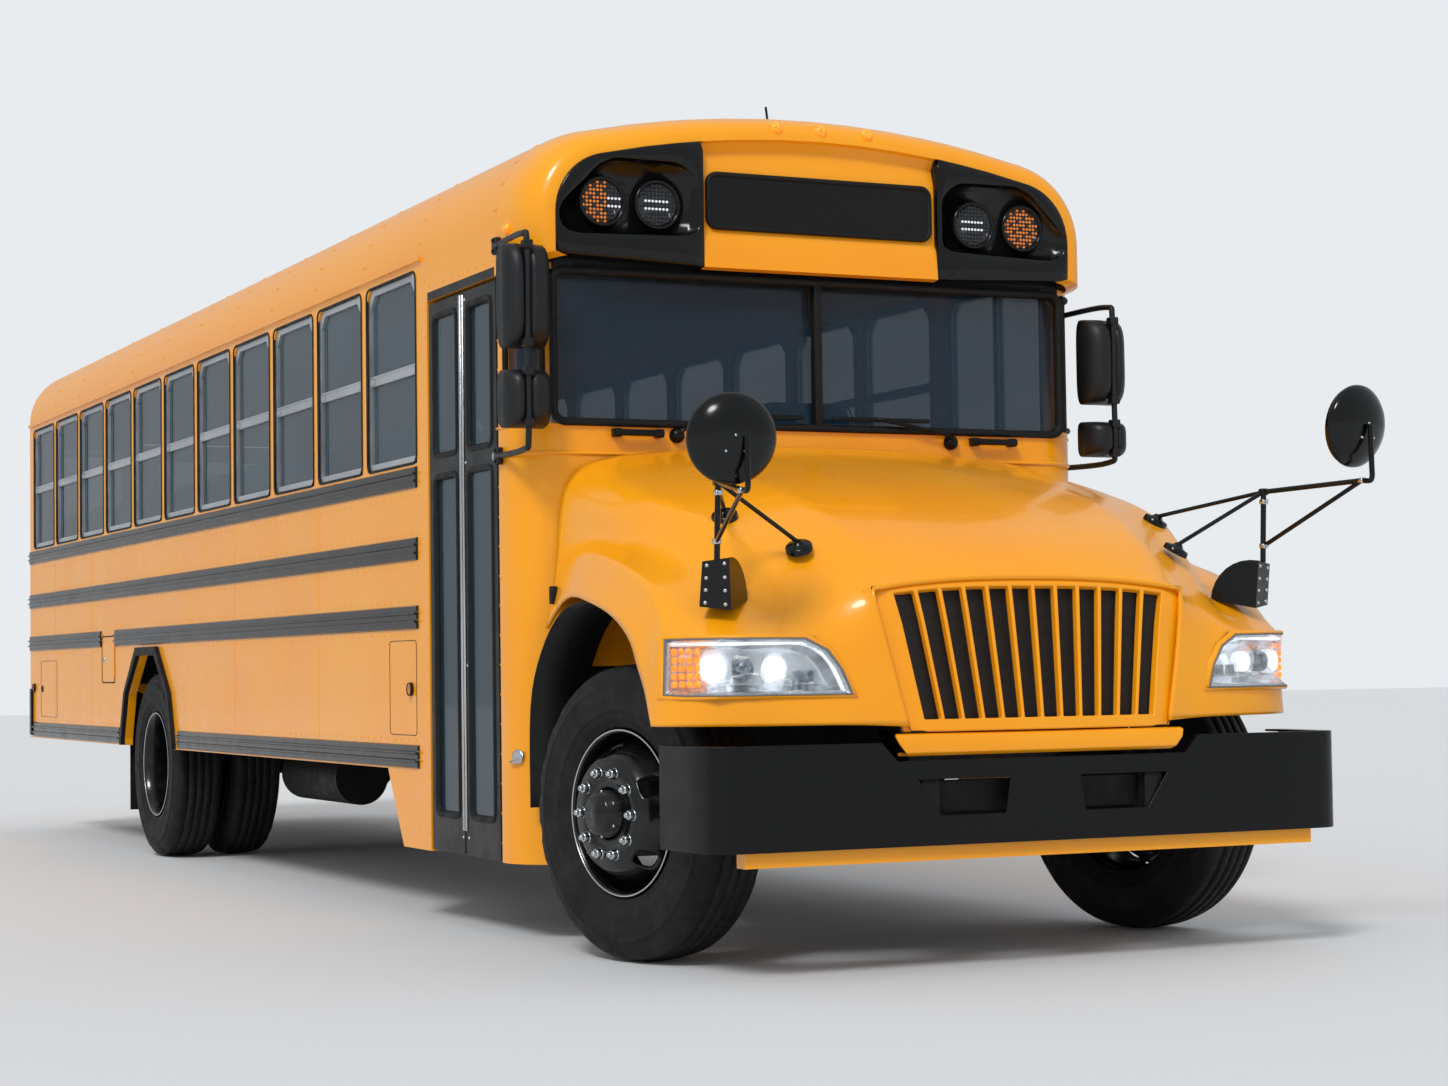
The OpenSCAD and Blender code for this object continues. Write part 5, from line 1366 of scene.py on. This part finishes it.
for side, word in SIDES:
    axis = wheel_axis(side, False)
    rubber, dark, bright = bmesh.new(), bmesh.new(), bmesh.new()
    body = "front_" + word + "_wheel"
    add_tyre(rubber, axis)
    add_disc_wheel(dark, bright, axis, STEER_FACE, 1)
    made = from_bm("front_" + word + "_tyre_tread", rubber, tyre_rubber, body)
    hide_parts("front_" + word + "_tyre")
    made = from_bm("front_" + word + "_wheel_rim", dark, wheel_enamel, body)
    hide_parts("front_" + word + "_rim")
    made = from_bm("front_" + word + "_wheel_nuts", bright, bright_steel, body)
    dish_piece("front_" + word + "_wheel_dish", axis, STEER_FACE, 1, body)

    axis = wheel_axis(side, True)
    rubber, dark, bright = bmesh.new(), bmesh.new(), bmesh.new()
    body = "rear_" + word + "_wheels"
    for offset in (-DUAL_HALF, DUAL_HALF):
        add_tyre(rubber, axis @ Matrix.Translation((0, 0, offset)))
    outer = axis @ Matrix.Translation((0, 0, DUAL_HALF))
    add_disc_wheel(dark, bright, outer, DUAL_FACE, -1)
    inner = axis @ Matrix.Translation((0, 0, -DUAL_HALF))
    flanges = [(.1195, .2855), (.112, .273), (.093, .266)]
    add_lathe(dark, flanges + [(0, .256)] + [(-along, radius) for along, radius in reversed(flanges)], 64,
              inner)
    made = from_bm("rear_" + word + "_tyre_treads", rubber, tyre_rubber, body)
    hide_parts("rear_" + word + "_tyres")
    made = from_bm("rear_" + word + "_wheel_rims", dark, wheel_enamel, body)
    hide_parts("rear_" + word + "_rims")
    made = from_bm("rear_" + word + "_wheel_nuts", bright, bright_steel, body)
    dish_piece("rear_" + word + "_wheel_dish", outer, DUAL_FACE, -1, body)


# ---------------------------------------------------------------- bumpers
# Pressed steel beams in satin black: the front one has two openings for the tow plates, a notch
# over its middle and wrapped ends; the rear one is bolted through its face.
BUMPER_Y, BUMPER_LOW, BUMPER_HIGH, NOTCH_Z = -5.250, .415, .750, .690
# columns: x at the opening's foot, x at its top, set-back of the face; from the middle outwards
HALF_COLUMNS = [(0, 0, 0), (.155, .135, 0), (.400, .480, 0), (.540, .555, 0)]
HALF_COLUMNS += [(x, x, back) for x, back in ((.612, 0), (.90, 0), (1.10, 0), (1.142, .004), (1.172, .016),
                                              (1.193, .036), (1.206, .064), (1.216, .20), (1.226, .378))]
NOTCH_HALF, CORNER_COLUMN, CORNER_LEAN = .60, 7, .045
OPEN_COLUMN, OPEN_ROW = 1, 1
LEVELS = [BUMPER_LOW, .512, .628, .672, 1.0]
bm = bmesh.new()
grid = {}
for side in (-1, 1):
    for j, (foot_x, top_x, back) in enumerate(HALF_COLUMNS):
        if side < 0 and j == 0:
            continue
        for i, z in enumerate(LEVELS):
            x = foot_x + (top_x - foot_x) * min(1, max(0, (z - LEVELS[1]) / (LEVELS[2] - LEVELS[1])))
            if z == 1.0:
                z = NOTCH_Z if x < NOTCH_HALF else BUMPER_HIGH
            grid[i, j * side] = bm.verts.new((side * x, BUMPER_Y + back, z))
        top, foot = grid[len(LEVELS) - 1, j * side].co, grid[0, j * side].co
        inward = .028 if NOTCH_HALF < top_x and j < CORNER_COLUMN else .012
        lean = 1 - CORNER_LEAN if j >= CORNER_COLUMN else 1
        for word, edge in (("top", top), ("foot", foot)):
            grid[word, j * side] = bm.verts.new((edge.x * lean, edge.y + inward, edge.z))
order = ["foot", *range(len(LEVELS)), "top"]
for side in (-1, 1):
    for j in range(len(HALF_COLUMNS) - 1):
        for low, high in zip(order, order[1:]):
            if j == OPEN_COLUMN and low == OPEN_ROW:
                continue
            here, there = j * side, (j + 1) * side
            bm.faces.new((grid[low, here], grid[low, there], grid[high, there], grid[high, here]))
bumper = from_bm("front_bumper_beam", bm, satin_black)
modify(bumper, "SOLIDIFY", thickness=.008, offset=-1)
soften(bumper, .007, 3, 35)
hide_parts("front_bumper")
bm = bmesh.new()
for side in (-1, 1):
    x0, x1 = sorted((side * .396, side * .462))
    add_box(bm, (x0, BUMPER_Y + .010, .430), (x1, BUMPER_Y + .030, .66), .002, 1)
hooks = from_bm("bumper_brackets", bm, chassis_black)

bm = bmesh.new()
for x in (-.95, -.43, .43, .95):
    for z in (.70, .84):
        axis = turned((x, 5.490, z), (-90, "X"))
        add_lathe(bm, [(0, .019), (.004, .018), (.008, .011), (.009, 0)], 16, axis)
bolts = from_bm("bumper_bolts", bm, satin_black)


# ---------------------------------------------------------------- rear door
# The emergency door: a steel leaf with two windows in rubber, hung on three hinges on its right
# side when seen from behind, and a lever handle.
frame_bm, rubber, panes, metal = (bmesh.new() for _ in range(4))
X0, X1, Z0, Z1 = -.464, .464, .966, 2.554
REAR_PANES = [(1.160, 1.640), (1.860, 2.460)]
for low, high in ((Z0, REAR_PANES[0][0]), (REAR_PANES[0][1], REAR_PANES[1][0]), (REAR_PANES[1][1], Z1)):
    add_box(frame_bm, (X0 + .09, REAR - .043, low), (X1 - .09, REAR - .001, high), 0)
for a, b in ((X0, X0 + .09), (X1 - .09, X1)):
    add_box(frame_bm, (a, REAR - .043, Z0), (b, REAR - .001, Z1), .004, 2)
for low, high in REAR_PANES:
    loops = []
    for grow, y in ((.014, 0), (.010, .006), (-.004, .006), (-.014, -.004), (-.014, -.03)):
        loops.append([rubber.verts.new((a, REAR + y, (low + high) / 2 + b))
                      for a, b in rounded_box(.374 + grow, (high - low) / 2 + grow, .04 + grow, 5)])
    ring_strip(rubber, loops)
    panes.faces.new([panes.verts.new((a, REAR - .014, (low + high) / 2 + b))
                     for a, b in rounded_box(.37, (high - low) / 2 - .004, .035, 5)])
for z in (1.080, 1.760, 2.440):
    add_lathe(metal, [(0, 0), (0, .010), (.090, .010), (.090, 0)], 16,
              Matrix.Translation((-.468, 5.411, z)))
    add_box(metal, (-.462, REAR - .002, z), (-.410, REAR + .005, z + .09), .002, 1)
add_tube(metal, smooth_route([(.352, REAR, 1.74), (.352, REAR + .022, 1.74), (.375, REAR + .028, 1.738),
                              (.30, REAR + .030, 1.735)], 4), .008, 10)
add_lathe(metal, [(-.002, .028), (.008, .026), (.012, .014)], 20,
          turned((.352, REAR, 1.74), (-90, "X")))
made = from_bm("rear_door_leaf", frame_bm, enamel, "rear_door", smooth=False)
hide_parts("rear_door")
for name, bm, finish, slot in (("rear_door_rubber", rubber, moulded_rubber, "black_rubber"),
                               ("rear_door_panes", panes, side_glass, "tinted_glass"),
                               ("rear_door_fittings", metal, satin_black, "black_paint")):
    made = from_bm(name, bm, finish, "rear_door", smooth=name != "rear_door_panes")
    if name == "rear_door_panes":
        modify(made, "SOLIDIFY", thickness=.006, offset=0)


# ---------------------------------------------------------------- rear lamps and side markers
# Round lenses with moulded rings: warning pairs high up, stop, turn and reversing lamps below,
# and small amber and red markers along the body.
red_lens, tree, shader = surface("red acrylic lens", "#A3121A", Roughness=0.12, Coat_Weight=0.5)
vary(tree, shader, "Base Color", 16, srgb("#8E0D15"), srgb("#BB1A22"))
amber_lens, tree, shader = surface("amber acrylic lens", "#E07A10", Roughness=0.12, Coat_Weight=0.5)
vary(tree, shader, "Base Color", 16, srgb("#D06A08"), srgb("#F08E1E"))
clear_cap, tree, shader = surface("clear acrylic lens", "#E6EAEC", Roughness=0.12, Coat_Weight=0.5)
vary(tree, shader, "Base Color", 16, srgb("#D8DDE0"), srgb("#F2F4F5"))
groups = {"red": bmesh.new(), "amber": bmesh.new(), "clear": bmesh.new(), "rim": bmesh.new()}


def round_lamp(colour, spot, radius, facing):
    axis = aimed(spot, facing)
    rings = [(.006, radius * .88)]
    for k in range(1, 6):
        r = radius * (.88 - .14 * k)
        rings += [(.010 + .001 * k, r + radius * .05), (.008 + .001 * k, r)]
    add_lathe(groups[colour], rings + [(.014, 0)], 32, axis)
    add_lathe(groups["rim"], [(0, radius), (.010, radius * .99), (.014, radius * .93),
                              (.006, radius * .88)], 32, axis)


for side in (-1, 1):
    for x, colour in ((.682, "amber"), (.905, "red")):
        round_lamp(colour, (side * x, REAR + .012, LAMP_Z), LAMP_R, (0, 1, 0))
    for z, radius, colour in ((1.64, .090, "red"), (1.40, .090, "amber"), (1.08, .060, "clear")):
        round_lamp(colour, (side * .905, REAR + .001, z), radius, (0, 1, 0))
    round_lamp("amber", (side * 1.2195, -2.395, .928), .028, (side, 0, 0))
    round_lamp("red", (side * 1.2195, 5.250, .928), .028, (side, 0, 0))
    if side > 0:
        round_lamp("amber", (side * 1.2195, -2.20, 1.645), .026, (side, 0, 0))
    round_lamp("red", (side * .19, REAR - .002, 2.98), .022, (0, 1, .1))
    add_box(groups["rim"], (side * .795 - .225, REAR - .002, LAMP_Z - .12),
            (side * .795 + .225, REAR + .012, LAMP_Z + .12), .01)
for colour, finish, slot in (("red", red_lens, "lamp_lens"), ("amber", amber_lens, "lamp_lens"),
                             ("clear", clear_cap, "lamp_lens"), ("rim", gloss_black, "black_plastic")):
    made = from_bm("round_lamps_" + colour, groups[colour], finish)


# ---------------------------------------------------------------- stop arm
# A blank red octagon with a white border on a hinged bracket behind the driver's window, with a
# lamp above and below; it folds flat against the body.
stop_red, tree, shader = surface("red reflective sheet", "#B3161B", Roughness=0.35, Coat_Weight=0.4)
grain(tree, shader, 3, 0.04)
vary(tree, shader, "Base Color", 90, srgb("#AB141A"), srgb("#BC1A1F"))
border_white, tree, shader = surface("white reflective sheet", "#ECEDEC", Roughness=0.35, Coat_Weight=0.4)
grain(tree, shader, 3, 0.04)
STOP = Vector((1.245, -2.030, 1.370))
HINGE_X, HINGE_Y = 1.259, -2.330


def octagon(radius, x):
    angles = [math.radians(22.5 + 45 * k) for k in range(8)]
    return [(x, STOP.y + radius * math.cos(a), STOP.z + radius * math.sin(a)) for a in angles]


for name, low, high, radius, finish, slot in (
        ("stop_plate", 1.2465, 1.2615, .238, border_white, "stop_red"),
        ("stop_panel", 1.2460, 1.2622, .222, stop_red, "stop_red")):
    bm = bmesh.new()
    a = [bm.verts.new(p) for p in octagon(radius, low)]
    b = [bm.verts.new(p) for p in octagon(radius, high)]
    bm.faces.new(a)
    bm.faces.new(b)
    ring_strip(bm, [a, b])
    made = from_bm(name, bm, finish, "stop_arm", smooth=False)
    if name == "stop_plate":
        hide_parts("stop_arm")
bm = bmesh.new()
for z in (-.045, .045):
    add_box(bm, (1.2625, HINGE_Y + .012, STOP.z + z - .014), (1.2700, STOP.y + .10, STOP.z + z + .014),
            .002, 1)
add_lathe(bm, [(-.070, 0), (-.070, .009), (.070, .009), (.070, 0)], 16,
          Matrix.Translation((HINGE_X, HINGE_Y, STOP.z)))
bracket = from_bm("stop_bracket", bm, satin_black, "stop_arm", smooth=False)
bm = bmesh.new()
for dz in (-.145, .145):
    axis = turned((1.2625, STOP.y, STOP.z + dz), (90, "Y"))
    add_lathe(bm, [(0, .040), (.006, .038), (.012, .026), (.014, 0)], 24, axis)
lamps = from_bm("stop_lamps", bm, red_lens, "stop_arm")


# ---------------------------------------------------------------- roof hatches
# Two moulded white escape lids with a raised field, each on a flanged frame and hinged along its
# front edge.
for body, node in (("front_hatch", "roof_hatch_front"), ("rear_hatch", "roof_hatch_rear")):
    y = HATCHES[body]
    bm = bmesh.new()
    loops = []
    for half, corner, z in ((.290, .03, 3.1185), (.291, .03, 3.140), (.284, .035, 3.152),
                            (.225, .04, 3.154), (.212, .045, 3.160), (.10, .05, 3.1615)):
        loops.append([bm.verts.new((a, y + b, z)) for a, b in rounded_box(half, half, corner, 6)])
    ring_strip(bm, loops)
    bm.faces.new(loops[-1])
    bm.faces.new(list(reversed(loops[0])))
    add_lathe(bm, [(0, 0), (0, .008), (.48, .008), (.48, 0)], 12,
              turned((-.24, y - .292, 3.160), (90, "Y")))
    lid = from_bm(body + "_lid", bm, white_enamel, body)
    soften(lid, .003, 2, 35)
    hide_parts(node)
bm = bmesh.new()
for y in HATCHES.values():
    loops = []
    for half, z in ((.335, 3.095), (.335, 3.122), (.300, 3.124), (.2965, 3.118)):
        loops.append([bm.verts.new((a, y + b, z)) for a, b in rounded_box(half, half, .04, 5)])
    ring_strip(bm, loops)
curbs = from_bm("hatch_curbs", bm, white_enamel)
soften(curbs, .003, 2, 35)


# ---------------------------------------------------------------- fuel door
# A flush painted flap with a bright turn button, inside a thin dark joint.
bm = bmesh.new()
loop = [(-1.2198, 3.09 + a, 1.095 + b) for a, b in rounded_box(.166, .134, .03, 5)]
add_tube(bm, loop + [loop[0]], .0025, 6)
joint = from_bm("fuel_door_joint", bm, moulded_rubber)
bm = bmesh.new()
axis = turned((-1.2190, 3.20, 1.095), (-90, "Y"))
add_lathe(bm, [(-.002, .020), (.004, .019), (.006, .012), (.003, .008), (.003, 0)], 20, axis)
button = from_bm("fuel_door_button", bm, bright_steel, "fuel_door")


# ---------------------------------------------------------------- passenger benches
# Two rows of eleven benches: foam cushions and high padded backs in grained vinyl, welted round
# their edges, on bent steel legs.
seat_vinyl, tree, shader = surface("grained blue-grey vinyl", "#39434D", Roughness=0.52)
vary(tree, shader, "Base Color", 260, srgb("#35404A"), srgb("#414C57"), 4)
vary(tree, shader, "Roughness", 60, 0.46, 0.6)
cells = add(tree, "ShaderNodeTexVoronoi", Vector=place(tree), Scale=1000 / 2.2)
emboss(tree, shader, cells.outputs["Distance"], 0.25)


def add_pad(bm, welts, low, high, crown, across=2, nx=16, ny=10, nz=4, power=7.0):
    """A stuffed form: rounded edges, crowned faces, sides drawn in between its corners.

    across is the axis of its thickness, along which the crown rises."""
    low, high = Vector(low), Vector(high)
    middle, half = (low + high) / 2, (high - low) / 2
    counts = [nx, ny, nz] if across == 2 else [nx, nz, ny]
    found = {}

    def vert(i, j, k):
        key = (i, j, k)
        if key not in found:
            u = [-1 + 2 * key[a] / counts[a] for a in range(3)]
            size = sum(abs(c) ** power for c in u) ** (1 / power)
            p = [c / size for c in u]
            flat = [a for a in range(3) if a != across]
            rise = (1 - p[flat[0]] ** 2) * (1 - p[flat[1]] ** 2)
            q = [p[a] * half[a] for a in range(3)]
            q[across] += (crown * rise) * (1 if u[across] > 0 else -1) * abs(p[across])
            q[flat[0]] *= 1 - .010 * (1 - p[flat[1]] ** 2)
            q[flat[1]] *= 1 - .018 * (1 - p[flat[0]] ** 2)
            found[key] = bm.verts.new(middle + Vector(q))
        return found[key]

    for a in range(3):
        b, c = (a + 1) % 3, (a + 2) % 3
        for end in (0, counts[a]):
            for i in range(counts[b]):
                for j in range(counts[c]):
                    corners = []
                    for di, dj in ((0, 0), (1, 0), (1, 1), (0, 1)):
                        key = [0, 0, 0]
                        key[a], key[b], key[c] = end, i + di, j + dj
                        corners.append(vert(*key))
                    bm.faces.new(corners)
    flat = [a for a in range(3) if a != across]
    for sign in (-1, 1):
        route = []
        for p, q in rounded_box(half[flat[0]] * .972, half[flat[1]] * .955, .05, 4):
            spot = [0, 0, 0]
            spot[flat[0]], spot[flat[1]], spot[across] = p, q, sign * half[across] * .86
            route.append(middle + Vector(spot))
        add_tube(welts, route + [route[0]], .0045, 6)


FLOOR_Z, SEAT_FIRST, SEAT_PITCH, SEAT_ROWS = 1.000, -2.180, .700, 11
BENCH_IN, BENCH_OUT = .224, 1.152
pads, welts, legs = bmesh.new(), bmesh.new(), bmesh.new()
for side in (-1, 1):
    for row in range(SEAT_ROWS):
        y = SEAT_FIRST + row * SEAT_PITCH - .030
        x0, x1 = sorted((side * BENCH_IN, side * BENCH_OUT))
        add_pad(pads, welts, (x0, y + .004, FLOOR_Z + .344), (x1, y + .418, FLOOR_Z + .440), .008)
        add_pad(pads, welts, (x0, y + .434, FLOOR_Z + .284), (x1, y + .512, FLOOR_Z + 1.054), .006,
                across=1)
        for x in (side * .26, side * 1.09):
            foot, top = FLOOR_Z + .002, FLOOR_Z + .33
            bent = [(.07, foot), (.07, top - .03), (.10, top), (.36, top), (.39, top - .03), (.39, foot)]
            add_tube(legs, smooth_route([(x, y + dy, z) for dy, z in bent], 3), .013, 8)
            for dy in (.07, .39):
                spot = Vector((x, y + dy, foot + .002))
                add_box(legs, spot - Vector((.025, .03, .003)), spot + Vector((.025, .03, .003)), .001, 1)
benches = from_bm("bench_cushions", pads, seat_vinyl)
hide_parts("passenger_seats")
welting = from_bm("bench_welts", welts, seat_vinyl)
bench_legs = from_bm("bench_legs", legs, satin_black)


# ---------------------------------------------------------------- driver's seat
# A high-backed seat in the same vinyl on a suspension box, with side bolsters.
pads, welts, metal = bmesh.new(), bmesh.new(), bmesh.new()
add_pad(pads, welts, (.305, -2.955, 1.404), (.795, -2.505, 1.512), .010)
add_pad(pads, welts, (.318, -2.486, 1.430), (.782, -2.404, 2.142), .006, across=1)
for x in (.312, .728):
    add_pad(pads, welts, (x, -2.90, 1.470), (x + .060, -2.53, 1.530), .004, nx=6, ny=8, nz=3)
driver = from_bm("driver_cushions", pads, seat_vinyl)
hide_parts("driver_seat")
made = from_bm("driver_welts", welts, seat_vinyl)
for k in range(7):
    z = FLOOR_Z + .08 + k * .043
    add_box(metal, (.43 - .006 * (k % 2), -2.87, z), (.67 + .006 * (k % 2), -2.57, z + .040), .006, 2)
add_box(metal, (.405, -2.895, FLOOR_Z + .002), (.695, -2.545, FLOOR_Z + .075), .006, 2)
add_box(metal, (.36, -2.93, 1.380), (.74, -2.52, 1.404), .004, 1)
made = from_bm("driver_seat_base", metal, satin_black)
soften(made, .002)


# ---------------------------------------------------------------- dashboard
# A grained moulding with a gauge binnacle, round vents and a row of rocker switches.
bm, dials = bmesh.new(), bmesh.new()
add_box(bm, (.36, -3.45, 1.80), (.80, -3.325, 1.862), .02, 4)
for x, r in ((.45, .045), (.55, .030), (.63, .030), (.72, .045)):
    axis = turned((x, -3.3285, 1.765), (-90, "X"))
    add_lathe(dials, [(0, r), (.006, r * .96), (.004, r * .88), (.002, r * .86), (.002, 0)], 32, axis)
for x in (-.40, -.15, .15, .95):
    axis = turned((x, -3.3295, 1.70), (-90, "X"))
    add_lathe(dials, [(0, .042), (.008, .040), (.003, .034), (.003, .012), (.007, .010), (.007, 0)], 28,
              axis)
for k in range(8):
    add_box(dials, (.42 + k * .038, -3.3295, 1.615), (.45 + k * .038, -3.321, 1.665), .003, 1)
binnacle = from_bm("dash_binnacle", bm, dash_vinyl)
controls = from_bm("dash_controls", dials, gloss_black)


# ---------------------------------------------------------------- small body fittings
# Rubber hold-downs that keep the hood shut, the aerial's foot, and the plated draw latches at the
# foot of the corner panels.
bm, metal = bmesh.new(), bmesh.new()
for side in (-1, 1):
    add_box(bm, (side * 1.152 - .012, -3.800, 1.235), (side * 1.152 + .012, -3.770, 1.300), .004, 1)
    a = math.radians(24.8)
    spot = (side * (CORNER_X + .2105 * math.cos(a)), CORNER_Y - .2105 * math.sin(a), .681)
    axis = aimed(spot, (side * math.cos(a), -math.sin(a), 0))
    add_lathe(metal, [(-.002, .028), (.004, .027), (.007, .017), (.004, .012), (.004, 0)], 22, axis)
    add_tube(metal, [axis @ Vector(p) for p in ((-.030, -.018, .010), (0, -.020, .016), (.030, -.012, .010),
                                                (.034, .020, .008))], .005, 8)
rubbers = from_bm("hood_hold_downs", bm, moulded_rubber, "hood")
latches = from_bm("corner_latches", metal, bright_steel)
bm = bmesh.new()
add_lathe(bm, [(-.004, .030), (.006, .028), (.016, .018), (.024, .014), (.026, 0)], 20,
          Matrix.Translation((.14, -3.00, 3.122)))
aerial = from_bm("aerial_foot", bm, moulded_rubber)
